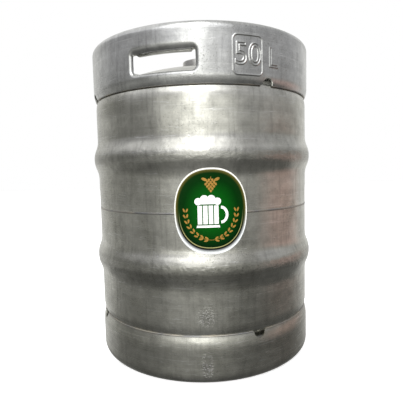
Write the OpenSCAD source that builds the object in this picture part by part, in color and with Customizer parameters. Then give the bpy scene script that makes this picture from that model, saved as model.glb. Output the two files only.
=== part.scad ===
// Fifty litre stainless steel beer keg, standing on its foot.
// The extractor spear is screwed into its neck.
// Millimetres. The origin is on the keg's axis at floor level, +Z is up, and the label faces -Y.
// An azimuth is measured in degrees from -Y towards +X.

/* [Keg] */
// Overall height, from the floor to the top rim
keg_h = 532; // [530:1:536]
// Outside radius of the cylinder wall
body_r = 190.5; // [189:0.5:192]
// Sheet thickness of the two shells
shell_t = 1.5; // [1.2:0.1:1.8]
// Height of the girth weld above the floor
girth_z = 260; // [258:1:262]
// Height from the girth weld to each knuckle's start
tangent_h = 168.5; // [166:0.5:168.5]
// Radius of the knuckle between wall and dome
knuckle_r = 45; // [42:1:48]
// Radius of the domes' crowns
crown_r = 400; // [380:5:420]
// Depth of the sump pressed into the lower dome
sump_depth = 4; // [3:0.5:5]

/* [Rolling hoops] */
// Height from the girth weld to each hoop's crest
hoop_h = 84; // [80:1:88]
// How far a hoop stands out from the wall
hoop_rise = 7; // [5:0.5:8]
// Half the height of a hoop, with its fillets
hoop_half = 34; // [30:1:38]

/* [Chimes] */
// Sheet thickness of both chimes
chime_t = 2; // [1.8:0.1:2.2]
// Outside radius of the top chime
collar_r = 193.3; // [192.5:0.1:194]
// Outside radius of the foot chime
foot_r = 192; // [191.5:0.1:193]
// Radius of the top chime's rolled rim
rim_r = 10; // [9:0.5:11]
// Radius of the foot chime's outer bottom corner
foot_corner_r = 15; // [12:0.5:16]
// Azimuth of the first hand hole
hand_az = -20; // [-30:1:-10]
// Arc that a hand hole spans, in degrees
hand_arc = 30; // [26:1:34]
// Radius of the grip rolled inwards above a hand hole
grip_r = 12; // [10:0.5:13]
// Radius of the drain notches
drain_r = 10; // [8:0.5:11]

/* [Neck and spear] */
// Height of the neck's top face
neck_z = 522; // [520:0.5:524]
// Outside radius of the neck
neck_r = 31; // [30:0.5:32]
// Radius of the neck's thread bore
thread_r = 25.5; // [25.4:0.05:25.6]
// Travel of the gas valve
valve_travel = 6; // [5:0.5:6.5]
// Outside radius of the down tube
tube_r = 8; // [7.5:0.5:8]
// Radius of the beer valve's ball
ball_r = 8; // [7.8:0.1:8]

/* [Label] */
// Width of the label, round the wall
label_w = 108; // [90:1:110]
// Height of the label
label_h = 126; // [110:1:126]
// Height of the label's centre
label_z = 263; // [260:1:266]

/* [Hidden] */
$fn = 96;

steel = [0.67, 0.67, 0.65];
bright_steel = [0.8, 0.8, 0.79];
weld_grey = [0.5, 0.5, 0.5];
rubber_black = [0.1, 0.1, 0.1];
print_green = [0.02, 0.32, 0.12];

running = 0.05; // gap left between two faces that meet but belong to parts that move

// Hoop section: two fillets and a crest of one radius, tangent to each other and to the wall
hoop_a = 2 * atan(hoop_rise / hoop_half);
hoop_curve = hoop_half / sin(hoop_a) / 2;

// Dome section: the crown's centre below the knuckle's start, and the slope where the two arcs meet
crown_drop = sqrt(pow(crown_r - knuckle_r, 2) - pow(body_r - knuckle_r, 2));
knuckle_a = atan2(crown_drop, body_r - knuckle_r);
sump_r = 45;
sump_flat_r = 20;

// Where the chimes' edges stand on the knuckles
collar_edge_z = girth_z + 185;
foot_edge_z = girth_z - 185;
edge_r = 189.2;
edge_lap = 1.6;
collar_taper_r = 80;
foot_taper_r = 45;
rim_flat = 3;
foot_flat = 5;
foot_curl_r = 8;

hand_low_z = 463.5;
hand_high_z = 503;
hand_corner_r = 9;
grip_arc = hand_arc - 3;
collar_drain_az = [28, -73];
foot_drain_az = [22.5, -71.5];
drain_gap_a = 5.5; // half the arc that a chime's weld leaves free at each drain

// Heights of the spear's parts
housing_flange_r = 28;
counterbore_r = 28.4;
counterbore_z = neck_z - 5;
housing_flange_z = neck_z - 2.8;
bayonet_z = neck_z - 4.5;
bayonet_r = 19.5;
lug_r = 23;
lug_gap_a = 42;
seat_top_z = neck_z - 17;
seat_z = neck_z - 22;
seat_bore_r = 15.5;
skirt_r = 23.5;
skirt_t = 2;
cage_z = neck_z - 62;
cage_t = 3;
flange_z = neck_z - 28.8;
seal_washer_z = flange_z + 1.8;
seal_z = seal_washer_z + 1;
seal_lip_r = 7.2;
ball_z = seal_z - sqrt(pow(ball_r, 2) - pow(seal_lip_r, 2)) - running;
cup_r = 12.5;
cup_bore_r = 11;
shoulder_z = cage_z + cage_t + valve_travel;
tube_bottom_z = 19;
tube_top_z = shoulder_z - 1.5;
tube_t = 1;

// ---- Section helpers -------------------------------------------------------

// Points along an arc, from angle a0 to a1
function arc(c, r, a0, a1, n = 10) =
    [for (i = [0:n]) let (a = a0 + (a1 - a0) * i / n) [c[0] + r * cos(a), c[1] + r * sin(a)]];

function backwards(points) = [for (i = [len(points) - 1:-1:0]) points[i]];

// The shell's wall above the girth, at a depth under the outer face, as [radius, height above the girth]
function wall_points(depth, from_h = 0) = concat(
    [[body_r - depth, from_h]],
    arc([body_r + hoop_curve, hoop_h - hoop_half], hoop_curve + depth, 180, 180 - hoop_a, 8),
    arc([body_r + hoop_rise - hoop_curve, hoop_h], hoop_curve - depth, -hoop_a, hoop_a, 12),
    arc([body_r + hoop_curve, hoop_h + hoop_half], hoop_curve + depth, 180 + hoop_a, 180, 8)
);

function knuckle_points(depth) =
    arc([body_r - knuckle_r, tangent_h], knuckle_r - depth, 0, knuckle_a, 14);

function crown_angle(r, depth) = acos(r / (crown_r - depth));

function crown_points(depth, end_r, n = 16) =
    arc([0, tangent_h - crown_drop], crown_r - depth, knuckle_a, crown_angle(end_r, depth), n);

// How far the sump lies outside the crown at a radius
function sump(r) =
    r > sump_r ? 0
    : r < sump_flat_r ? sump_depth
    : sump_depth * (1 + cos(180 * (r - sump_flat_r) / (sump_r - sump_flat_r))) / 2;

function sump_points(depth, n = 10) = [
    for (i = [0:n])
        let (r = sump_r * (1 - i / n))
        [r, tangent_h - crown_drop + sqrt(pow(crown_r - depth, 2) - r * r) + sump(r)]
];

// Point on the knuckle's outer face, at a height above the knuckle's start
function knuckle_radius(h) = body_r - knuckle_r + sqrt(pow(knuckle_r, 2) - h * h);

// Turns a child that faces -Y to an azimuth
module at_azimuth(az) rotate([0, 0, az]) children();

// A solid of revolution that spans an arc centred on an azimuth
module arc_sweep(az, arc_a) rotate([0, 0, az - 90 - arc_a / 2]) rotate_extrude(angle = arc_a) children();

// ---- Pressure vessel -------------------------------------------------------

weld_half = 0.6;
weld_cap_half = 2;
weld_crown = 0.25;
neck_hole_r = neck_r;

// Deep-drawn upper half, with its rolling hoop and the hole for the neck
module upper_shell() {
    color(steel)
        translate([0, 0, girth_z])
            rotate_extrude()
                polygon(concat(
                    wall_points(0, weld_half),
                    knuckle_points(0),
                    crown_points(0, neck_hole_r),
                    backwards(concat(
                        wall_points(shell_t, weld_half),
                        knuckle_points(shell_t),
                        crown_points(shell_t, neck_hole_r)
                    ))
                ));
}

// Deep-drawn lower half, with its rolling hoop and the sump that the down tube reaches into
module lower_shell() {
    color(steel)
        translate([0, 0, girth_z])
            mirror([0, 0, 1])
                rotate_extrude()
                    polygon(concat(
                        wall_points(0, weld_half),
                        knuckle_points(0),
                        crown_points(0, sump_r + 1),
                        sump_points(0),
                        backwards(concat(
                            wall_points(shell_t, weld_half),
                            knuckle_points(shell_t),
                            crown_points(shell_t, sump_r + 1),
                            sump_points(shell_t)
                        ))
                    ));
}

// Butt weld between the halves: a root through the sheet, with a low cap on each face
module girth_weld() {
    color(weld_grey)
        translate([0, 0, girth_z])
            rotate_extrude()
                polygon([
                    [body_r - shell_t, -weld_half],
                    [body_r, -weld_half],
                    [body_r, -weld_cap_half],
                    [body_r + weld_crown, -weld_cap_half / 2],
                    [body_r + weld_crown, weld_cap_half / 2],
                    [body_r, weld_cap_half],
                    [body_r, weld_half],
                    [body_r - shell_t, weld_half],
                    [body_r - shell_t, weld_cap_half],
                    [body_r - shell_t - weld_crown, weld_cap_half / 2],
                    [body_r - shell_t - weld_crown, -weld_cap_half / 2],
                    [body_r - shell_t, -weld_cap_half]
                ]);
}

// ---- Chimes ----------------------------------------------------------------

// Where a tapered skirt of radius r turns vertical, as a height above its edge
function taper_h(r, taper_r) = sqrt(pow(taper_r, 2) - pow(taper_r - (r - edge_r), 2));

// One face of the top chime, from its lower edge up and over the rolled rim
function collar_face(depth) = concat(
    arc(
        [collar_r - collar_taper_r, collar_edge_z + taper_h(collar_r, collar_taper_r)],
        collar_taper_r - depth,
        -asin(taper_h(collar_r, collar_taper_r) / collar_taper_r),
        0,
        8
    ),
    arc([collar_r - rim_r, keg_h - rim_r], rim_r - depth, 0, 90, 8),
    arc([collar_r - rim_r - rim_flat, keg_h - rim_r], rim_r - depth, 90, 200, 10)
);

// One face of the foot chime, from its upper edge down and round the rolled foot
function foot_face(depth) = concat(
    arc(
        [foot_r - foot_taper_r, foot_edge_z - taper_h(foot_r, foot_taper_r)],
        foot_taper_r - depth,
        asin(taper_h(foot_r, foot_taper_r) / foot_taper_r),
        0,
        8
    ),
    arc([foot_r - foot_corner_r, foot_corner_r], foot_corner_r - depth, 0, -90, 10),
    arc([foot_r - foot_corner_r - foot_flat, foot_curl_r], foot_curl_r - depth, -90, -200, 10)
);

// Rounded window through the chime's wall, below the rolled grip
module hand_window() {
    half_w = collar_r * sin(hand_arc / 2);
    corner = [half_w - hand_corner_r, hand_low_z + hand_corner_r];
    translate([0, -collar_r, 0])
        rotate([90, 0, 0])
            linear_extrude(height = 2 * collar_r * (1 - cos(hand_arc / 2)) + 20, center = true)
                polygon(concat(
                    [[half_w, hand_high_z], [-half_w, hand_high_z]],
                    arc([-corner[0], corner[1]], hand_corner_r, 180, 270, 8),
                    arc(corner, hand_corner_r, 270, 360, 8)
                ));
}

// Grip: the chime's own sheet rolled inwards above the window, with a root that runs up into the wall
module grip(az) {
    c = [collar_r - grip_r, hand_high_z];
    root = [[collar_r - chime_t + 0.4, hand_high_z + 3], [collar_r - 0.4, hand_high_z + 3]];
    arc_sweep(az, grip_arc)
        polygon(concat(
            arc(c, grip_r, 0, -190, 14),
            backwards(arc(c, grip_r - chime_t, 0, -190, 14)),
            [[root[0][0], hand_high_z], root[0], root[1], [root[1][0], hand_high_z]]
        ));
}

module drain(az, z) {
    at_azimuth(az)
        translate([0, -edge_r, z])
            rotate([90, 90, 0])
                cylinder(h = 24, r = drain_r, center = true);
}

// Collar round the neck: rolled rim, two hand holes and four drains
module top_chime() {
    color(steel)
        union() {
            difference() {
                rotate_extrude()
                    polygon(concat(collar_face(0), backwards(collar_face(chime_t))));
                for (turn = [0, 180])
                    at_azimuth(hand_az + turn)
                        hand_window();
                for (az = collar_drain_az, turn = [0, 180])
                    drain(az + turn, collar_edge_z);
            }
            for (turn = [0, 180])
                grip(hand_az + turn);
        }
}

// Ring that the keg stands on: rolled foot and four drains
module foot_chime() {
    color(steel)
        difference() {
            rotate_extrude()
                polygon(concat(foot_face(0), backwards(foot_face(chime_t))));
            for (az = foot_drain_az, turn = [0, 180])
                drain(az + turn, foot_edge_z);
        }
}

// Fillet weld between a chime's edge and the dome's knuckle, broken at each drain.
// Its heights run outwards from the girth, so the foot's weld is drawn the same way and mirrored.
module edge_weld(drain_az, r, taper_r) {
    edge_h = collar_edge_z - girth_z;
    low = edge_h + 2.2;
    high = edge_h + 6.4;
    taper_top = edge_h + taper_h(r, taper_r);
    azimuths = [drain_az[1], drain_az[0], drain_az[1] + 180, drain_az[0] + 180, drain_az[1] + 360];
    for (i = [0:3])
        let (start = azimuths[i] + drain_gap_a, stop = azimuths[i + 1] - drain_gap_a)
            arc_sweep((start + stop) / 2, stop - start)
                polygon(concat(
                    [for (h = [low:(high - low) / 4:high + 0.01]) [knuckle_radius(h - tangent_h) + 0.03, h]],
                    [
                        for (h = [high:(low - high) / 4:low - 0.01])
                            [r - taper_r + sqrt(pow(taper_r - chime_t, 2) - pow(taper_top - h, 2)) - 0.03, h]
                    ]
                ));
}

module top_chime_weld() {
    color(weld_grey)
        translate([0, 0, girth_z])
            edge_weld(collar_drain_az, collar_r, collar_taper_r);
}

module foot_chime_weld() {
    color(weld_grey)
        translate([0, 0, girth_z])
            mirror([0, 0, 1])
                edge_weld(foot_drain_az, foot_r, foot_taper_r);
}

// ---- Neck ------------------------------------------------------------------

neck_bottom_z = neck_z - 25;
neck_chamfer = 1;
neck_weld_w = 4;
neck_dome_z = girth_z + tangent_h - crown_drop + sqrt(pow(crown_r, 2) - pow(neck_r, 2));

// Turned neck with a thread bore, counterbored for the spear's flange
module neck() {
    color(bright_steel)
        rotate_extrude()
            polygon([
                [thread_r, neck_bottom_z],
                [neck_r, neck_bottom_z],
                [neck_r, neck_z - neck_chamfer],
                [neck_r - neck_chamfer, neck_z],
                [counterbore_r, neck_z],
                [counterbore_r, counterbore_z],
                [thread_r, counterbore_z]
            ]);
}

// Fillet weld where the neck leaves the dome
module neck_weld() {
    toe_r = neck_r + neck_weld_w;
    toe_z = girth_z + tangent_h - crown_drop + sqrt(pow(crown_r, 2) - pow(toe_r, 2));
    color(weld_grey)
        rotate_extrude()
            polygon([
                [neck_r, neck_dome_z + 0.02],
                [toe_r, toe_z + 0.02],
                [neck_r + 1.6, neck_dome_z + 1.4],
                [neck_r, neck_dome_z + neck_weld_w]
            ]);
}

// ---- Spear -----------------------------------------------------------------

seal_section_r = 1.05;
seal_ring_r = 27;

// O-ring under the housing's flange
module neck_seal() {
    color(rubber_black)
        translate([0, 0, counterbore_z + seal_section_r + running])
            rotate_extrude()
                translate([seal_ring_r, 0])
                    circle(r = seal_section_r, $fn = 32);
}

housing_thread_r = thread_r - 0.08;
gas_window_w = 13;
gas_window_h = 18;
gas_window_z = neck_z - 41;

// Threaded valve body: bayonet rim for the coupler, valve seat, and a skirt with gas windows
module spear_housing() {
    cage_top_z = cage_z + cage_t;
    color(bright_steel)
        difference() {
            rotate_extrude()
                polygon([
                    [skirt_r - skirt_t, cage_top_z],
                    [skirt_r, cage_top_z],
                    [skirt_r, seat_z],
                    [housing_thread_r, seat_z + 1],
                    [housing_thread_r, housing_flange_z],
                    [housing_flange_r, housing_flange_z],
                    [housing_flange_r, neck_z],
                    [bayonet_r + 0.8, neck_z],
                    [bayonet_r, neck_z - 0.8],
                    [bayonet_r, bayonet_z - 0.5],
                    [lug_r, bayonet_z - 1.3],
                    [lug_r, seat_top_z],
                    [seat_bore_r, seat_top_z - 1],
                    [seat_bore_r, seat_z],
                    [skirt_r - skirt_t, seat_z]
                ]);
            for (turn = [0, 180])
                rotate([0, 0, turn - lug_gap_a / 2])
                    rotate_extrude(angle = lug_gap_a)
                        translate([bayonet_r - 2, bayonet_z - 2])
                            square([lug_r - bayonet_r + 2, 8]);
            for (turn = [45:90:315])
                rotate([0, 0, turn])
                    translate([skirt_r, 0, gas_window_z])
                        cube([12, gas_window_w, gas_window_h], center = true);
        }
}

cage_bore_r = 10.2;

// Base of the housing: the seat of the main spring, with four gas slots
module spring_cage() {
    color(bright_steel)
        translate([0, 0, cage_z])
            difference() {
                cylinder(h = cage_t, r = skirt_r);
                translate([0, 0, -1])
                    cylinder(h = cage_t + 2, r = cage_bore_r);
                for (turn = [0:90:270])
                    rotate([0, 0, turn])
                        translate([13.2, 0, cage_t / 2])
                            cylinder(h = cage_t + 2, r = 1.8, center = true);
            }
}

// Helical wire with closed ends: its axis is Z, from the wire's centre at height 0 to height h
function coil_point(r, h, turns, t, closed = 0.75) =
    let (
        a = 360 * turns * t,
        open = max(0, min(1, (t * turns - closed) / (turns - 2 * closed)))
    )
    [r * cos(a), r * sin(a), h * open];

function coil_faces(rings, sides) = concat(
    [[for (s = [sides - 1:-1:0]) s]],
    [
        for (i = [0:rings - 2], s = [0:sides - 1])
            [
                i * sides + s,
                i * sides + (s + 1) % sides,
                (i + 1) * sides + (s + 1) % sides,
                (i + 1) * sides + s
            ]
    ],
    [[for (s = [0:sides - 1]) (rings - 1) * sides + s]]
);

module coil(r, wire_r, h, turns, steps, sides) {
    rings = round(turns * steps) + 1;
    points = [
        for (i = [0:rings - 1], s = [0:sides - 1])
            let (
                t = i / (rings - 1),
                p = coil_point(r, h, turns, t),
                a = 360 * turns * t,
                b = -360 * s / sides
            )
            [p[0] + wire_r * cos(b) * cos(a), p[1] + wire_r * cos(b) * sin(a), p[2] + wire_r * sin(b)]
    ];
    polyhedron(points = points, faces = coil_faces(rings, sides), convexity = 10);
}

valve_wire_r = 1.1;
valve_coil_r = 17.5;
valve_turns = 6.5;

// Main spring: holds the gas valve shut
module valve_spring() {
    base = cage_z + cage_t + valve_wire_r + running;
    top = flange_z - valve_wire_r - running;
    color(bright_steel)
        translate([0, 0, base])
            coil(valve_coil_r, valve_wire_r, top - base, valve_turns, 20, 8);
}

sleeve_r = 9.5;
sleeve_bottom_z = shoulder_z - 12;
spring_shoulder_r = 5.8;

// Flanged cup at the top of the down tube: carries the seal and holds the ball and its spring
module stem_head() {
    color(bright_steel)
        rotate_extrude()
            polygon([
                [tube_r, sleeve_bottom_z],
                [sleeve_r, sleeve_bottom_z],
                [sleeve_r, shoulder_z + 1.5],
                [cup_r, shoulder_z + 4.5],
                [cup_r, flange_z],
                [19, flange_z],
                [19, seal_washer_z],
                [cup_bore_r, seal_washer_z],
                [cup_bore_r, shoulder_z + 3],
                [cup_bore_r - 3, shoulder_z],
                [spring_shoulder_r, shoulder_z],
                [spring_shoulder_r, tube_top_z],
                [tube_r, tube_top_z]
            ]);
}

// Tube that reaches down into the sump
module down_tube() {
    color(bright_steel)
        translate([0, 0, tube_bottom_z])
            difference() {
                cylinder(h = tube_top_z - tube_bottom_z, r = tube_r);
                translate([0, 0, -1])
                    cylinder(h = tube_top_z - tube_bottom_z + 2, r = tube_r - tube_t);
            }
}

// Steel ring that backs the rubber seal
module seal_washer() {
    color(bright_steel)
        translate([0, 0, seal_washer_z])
            difference() {
                cylinder(h = seal_z - seal_washer_z, r = 18.6);
                translate([0, 0, -1])
                    cylinder(h = seal_z - seal_washer_z + 2, r = 8.6);
            }
}

// Rubber seal: its rim shuts the gas valve and its lip shuts the beer valve
module valve_seal() {
    color(rubber_black)
        rotate_extrude()
            polygon([
                [seal_lip_r, seal_z],
                [18.6, seal_z],
                [18.6, seat_z - 1],
                [17.8, seat_z - running],
                [12, seat_z - running],
                [9, seat_z - 1.2],
                [seal_lip_r, seat_z - 1.6]
            ]);
}

ball_wire_r = 0.5;
ball_coil_r = 6.4;
ball_turns = 6.5;

// Spring under the ball
module ball_spring() {
    base = shoulder_z + ball_wire_r + running;
    top = ball_z - sqrt(pow(ball_r + ball_wire_r + running, 2) - pow(ball_coil_r, 2));
    color(bright_steel)
        translate([0, 0, base])
            coil(ball_coil_r, ball_wire_r, top - base, ball_turns, 16, 6);
}

// Ball that shuts the beer way
module beer_ball() {
    color(bright_steel)
        translate([0, 0, ball_z])
            sphere(r = ball_r);
}

// ---- Label -----------------------------------------------------------------

label_t = 0.4;
label_power = 2.3; // 2 is an ellipse, more is squarer

// Oval outline, a little squarer than an ellipse
function oval(w, h, n = 56) = [
    for (i = [0:n - 1])
        let (a = 360 * i / n, c = cos(a), s = sin(a))
        [
            w / 2 * sign(c) * pow(abs(c), 2 / label_power),
            h / 2 * sign(s) * pow(abs(s), 2 / label_power)
        ]
];

// Band that follows the wall and the hoops' fillets, on both sides of the girth
module label_band() {
    upper = [for (p = wall_points(-running - label_t, 0)) if (p[1] < 75) p];
    upper_in = [for (p = wall_points(-running - weld_crown, 0)) if (p[1] < 75) p];
    polygon(concat(
        [for (p = backwards(upper)) [p[0], -p[1]]],
        upper,
        backwards(upper_in),
        [for (p = upper_in) [p[0], -p[1]]]
    ));
}

// Thin oval label, bonded round the wall
module label() {
    color(print_green)
        intersection() {
            translate([0, 0, girth_z])
                arc_sweep(0, 2 * label_w / body_r * 180 / PI)
                    label_band();
            translate([0, -body_r, label_z])
                rotate([90, 0, 0])
                    linear_extrude(height = 60, center = true)
                        polygon(oval(2 * body_r * sin(label_w / body_r / 2 * 180 / PI), label_h));
        }
}

lower_shell();
upper_shell();
girth_weld();
top_chime();
top_chime_weld();
foot_chime();
foot_chime_weld();
neck();
neck_weld();
label();
neck_seal();
spear_housing();
spring_cage();
valve_spring();
stem_head();
down_tube();
seal_washer();
valve_seal();
ball_spring();
beer_ball();
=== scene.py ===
from math import asin, atan, atan2, cos, degrees, hypot, pi, radians, sin, sqrt

import bmesh
import bpy
from mathutils import Matrix, Vector, kdtree, noise


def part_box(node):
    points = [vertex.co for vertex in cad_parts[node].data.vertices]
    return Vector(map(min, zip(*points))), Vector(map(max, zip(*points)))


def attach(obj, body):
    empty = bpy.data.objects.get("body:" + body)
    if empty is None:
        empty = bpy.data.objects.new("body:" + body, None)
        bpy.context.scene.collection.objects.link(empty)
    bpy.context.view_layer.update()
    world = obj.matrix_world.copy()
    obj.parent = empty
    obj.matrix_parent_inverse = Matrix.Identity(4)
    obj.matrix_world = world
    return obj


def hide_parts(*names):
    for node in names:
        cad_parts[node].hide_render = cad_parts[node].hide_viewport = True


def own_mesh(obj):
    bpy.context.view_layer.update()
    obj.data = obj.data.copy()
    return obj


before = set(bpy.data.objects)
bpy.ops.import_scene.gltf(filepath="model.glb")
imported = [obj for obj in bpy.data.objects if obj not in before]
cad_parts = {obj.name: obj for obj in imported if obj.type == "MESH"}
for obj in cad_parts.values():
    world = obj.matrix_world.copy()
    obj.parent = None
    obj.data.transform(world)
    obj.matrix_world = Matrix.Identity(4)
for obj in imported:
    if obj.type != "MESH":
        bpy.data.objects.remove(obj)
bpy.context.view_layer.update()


# ---- Pressed halves --------------------------------------------------------
# Two deep-drawn stainless halves: each is a wall with one rolling hoop, a knuckle and a shallow dome.
# The sheet is brushed round the keg, and years of rolling have rubbed, stained and dented it; the hoop
# crests are darkened with painted shade, and a scuffed patch has a painted glint.

WALL_R = 0.1905
SHELL_SHEET = 0.0015
GIRTH_Z = 0.260
HOOP_H = 0.084
HOOP_RISE = 0.007
HOOP_HALF = 0.034
KNUCKLE_H = 0.1685
KNUCKLE_R = 0.045
CROWN_R = 0.400
NECK_HOLE_R = 0.031
SUMP_R = 0.045
SUMP_FLOOR_R = 0.020
SUMP_DEPTH = 0.004
ROOT_GAP_HALF = 0.0006
SHEET_RIPPLE = 0.00022

hoop_turn = 2 * atan(HOOP_RISE / HOOP_HALF)
hoop_curve = HOOP_HALF / sin(hoop_turn) / 2
crown_drop = sqrt((CROWN_R - KNUCKLE_R) ** 2 - (WALL_R - KNUCKLE_R) ** 2)
knuckle_turn = atan2(crown_drop, WALL_R - KNUCKLE_R)


def points_in(geometry):
    return [item for item in geometry if isinstance(item, bmesh.types.BMVert)]


def edges_in(geometry):
    return [item for item in geometry if isinstance(item, bmesh.types.BMEdge)]


def outward(spot):
    return Vector((spot.x, spot.y, 0)).normalized()


def draw_to(profile, tip, x, z, steps=1):
    start = tip.co.copy()
    for step in range(1, steps + 1):
        point = profile.verts.new(start.lerp(Vector((x, 0, z)), step / steps))
        profile.edges.new((tip, point))
        tip = point
    return tip


def swing(profile, tip, x, z, turn, steps):
    arc = bmesh.ops.spin(profile, geom=[tip], cent=(x, 0, z), axis=(0, -1, 0), angle=turn, steps=steps)
    return points_in(arc["geom_last"])[0]


def turn_full(piece, steps):
    bmesh.ops.spin(
        piece, geom=piece.verts[:] + piece.edges[:], cent=(0, 0, 0), axis=(0, 0, 1),
        angle=2 * pi, steps=steps, use_merge=True,
    )
    bmesh.ops.remove_doubles(piece, verts=piece.verts[:], dist=1e-6)
    bmesh.ops.recalc_face_normals(piece, faces=piece.faces[:])


def finish_piece(mesh, name, material, node, body, crease=38):
    made = bpy.data.meshes.new(name)
    mesh.to_mesh(made)
    mesh.free()
    for face in made.polygons:
        face.use_smooth = True
    made.set_sharp_from_angle(angle=radians(crease))
    made.materials.append(material)
    piece = bpy.data.objects.new(name, made)
    bpy.context.scene.collection.objects.link(piece)
    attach(piece, body)
    if node:
        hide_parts(node)
    return piece


def bare_tree(owner):
    owner.use_nodes = True
    owner.node_tree.nodes.clear()
    return owner.node_tree.nodes, owner.node_tree.links


def worn_stainless(name, steel, soiled, roughness, grain_depth, hoop_dents_and_shade, scuff_and_glint):
    finish = bpy.data.materials.new(name)
    nodes, links = bare_tree(finish)
    place = nodes.new("ShaderNodeTexCoord")
    place.label = "Place on the keg"
    place.location = (-1900, 0)
    split = nodes.new("ShaderNodeSeparateXYZ")
    split.label = "Height on the keg"
    split.location = (-1700, -900)
    shader = nodes.new("ShaderNodeBsdfPrincipled")
    shader.label = "Stainless sheet"
    shader.location = (1300, 0)
    output = nodes.new("ShaderNodeOutputMaterial")
    output.label = "Surface"
    output.location = (1600, 0)

    stains = nodes.new("NodeFrame")
    stains.label = "Stains and blotches"
    stain = nodes.new("ShaderNodeTexNoise")
    stain.label = "Water stains"
    stain_edge = nodes.new("ShaderNodeValToRGB")
    stain_edge.label = "Clean to stained"
    mottle = nodes.new("ShaderNodeTexNoise")
    mottle.label = "Dull mottling"
    mottle_depth = nodes.new("ShaderNodeMapRange")
    mottle_depth.label = "Depth of the mottling"
    tone = nodes.new("ShaderNodeMix")
    tone.label = "Clean or soiled steel"
    mottled = nodes.new("ShaderNodeMix")
    mottled.label = "Mottled steel"
    for node, spot_at in (
        (stain, (-1500, 500)), (stain_edge, (-1300, 500)), (mottle, (-1500, 250)),
        (mottle_depth, (-1300, 250)), (tone, (-900, 400)), (mottled, (-700, 400)),
    ):
        node.location, node.parent = spot_at, stains

    brushing = nodes.new("NodeFrame")
    brushing.label = "Brushing round the keg"
    round_keg = nodes.new("ShaderNodeMapping")
    round_keg.label = "Stretched round the keg"
    grain = nodes.new("ShaderNodeTexNoise")
    grain.label = "Brushed grain"
    bands = nodes.new("ShaderNodeMapping")
    bands.label = "Broad bands"
    band = nodes.new("ShaderNodeTexNoise")
    band.label = "Spinning marks"
    band_depth = nodes.new("ShaderNodeMapRange")
    band_depth.label = "Depth of the marks"
    banded = nodes.new("ShaderNodeMix")
    banded.label = "Banded steel"
    for node, spot_at in (
        (round_keg, (-1700, 0)), (grain, (-1500, 0)), (bands, (-1700, -220)), (band, (-1500, -220)),
        (band_depth, (-1300, -220)), (banded, (-500, 300)),
    ):
        node.location, node.parent = spot_at, brushing

    rubbing = nodes.new("NodeFrame")
    rubbing.label = "Rubs, scratches and pits"
    up_keg = nodes.new("ShaderNodeMapping")
    up_keg.label = "Stretched up the keg"
    rub = nodes.new("ShaderNodeTexNoise")
    rub.label = "Rubs from handling"
    rub_depth = nodes.new("ShaderNodeMapRange")
    rub_depth.label = "Depth of the rubs"
    slant = nodes.new("ShaderNodeMapping")
    slant.label = "Slanted"
    scratch = nodes.new("ShaderNodeTexNoise")
    scratch.label = "Scratch lines"
    scratch_edge = nodes.new("ShaderNodeValToRGB")
    scratch_edge.label = "Thin scratches"
    pit = nodes.new("ShaderNodeTexNoise")
    pit.label = "Pits"
    pit_edge = nodes.new("ShaderNodeValToRGB")
    pit_edge.label = "Sparse dark pits"
    facing = nodes.new("ShaderNodeSeparateXYZ")
    facing.label = "How level the sheet is"
    level = nodes.new("ShaderNodeMath")
    level.label = "Up or down alike"
    upright = nodes.new("ShaderNodeMapRange")
    upright.label = "Upright wall"
    wall_scratch = nodes.new("ShaderNodeMath")
    wall_scratch.label = "Scratches on the wall"
    rubbed = nodes.new("ShaderNodeMix")
    rubbed.label = "Rubbed steel"
    pit_share = nodes.new("ShaderNodeMath")
    pit_share.label = "Pits where stained"
    pitted = nodes.new("ShaderNodeMix")
    pitted.label = "Pitted steel"
    scratched = nodes.new("ShaderNodeMix")
    scratched.label = "Scratched steel"
    for node, spot_at in (
        (up_keg, (-1700, -460)), (rub, (-1500, -460)), (rub_depth, (-1300, -460)), (slant, (-1700, -680)),
        (scratch, (-1500, -680)), (scratch_edge, (-1300, -680)), (pit, (-1500, -900)),
        (pit_edge, (-1300, -900)), (pit_share, (-900, -900)), (facing, (-1500, -2200)),
        (level, (-1300, -2200)), (upright, (-1100, -2200)), (wall_scratch, (-900, -680)),
        (rubbed, (-300, 200)), (pitted, (-100, 150)), (scratched, (100, 100)),
    ):
        node.location, node.parent = spot_at, rubbing

    gloss = nodes.new("NodeFrame")
    gloss.label = "Gloss"
    stain_gloss = nodes.new("ShaderNodeMapRange")
    stain_gloss.label = "Stains are duller"
    grain_gloss = nodes.new("ShaderNodeMapRange")
    grain_gloss.label = "Grain in the gloss"
    gloss_sum = nodes.new("ShaderNodeMath")
    gloss_sum.label = "Roughness"
    crest_gloss = nodes.new("ShaderNodeMath")
    crest_gloss.label = "Hoops are scuffed dull"
    for node, spot_at in (
        (stain_gloss, (300, -200)), (grain_gloss, (300, -420)), (gloss_sum, (500, -300)),
        (crest_gloss, (700, -300)),
    ):
        node.location, node.parent = spot_at, gloss

    relief = nodes.new("NodeFrame")
    relief.label = "Dents and relief"
    dent = nodes.new("ShaderNodeTexNoise")
    dent.label = "Shallow dents"
    dent_bump = nodes.new("ShaderNodeBump")
    dent_bump.label = "Dented"
    peel = nodes.new("ShaderNodeTexNoise")
    peel.label = "Drawing ripple"
    peel_bump = nodes.new("ShaderNodeBump")
    peel_bump.label = "Rippled"
    grain_bump = nodes.new("ShaderNodeBump")
    grain_bump.label = "Grained"
    pit_bump = nodes.new("ShaderNodeBump")
    pit_bump.label = "Pitted"
    for node, spot_at in (
        (dent, (-300, -700)), (dent_bump, (300, -700)), (peel, (-300, -900)), (peel_bump, (500, -700)),
        (grain_bump, (700, -700)), (pit_bump, (900, -700)),
    ):
        node.location, node.parent = spot_at, relief

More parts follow.
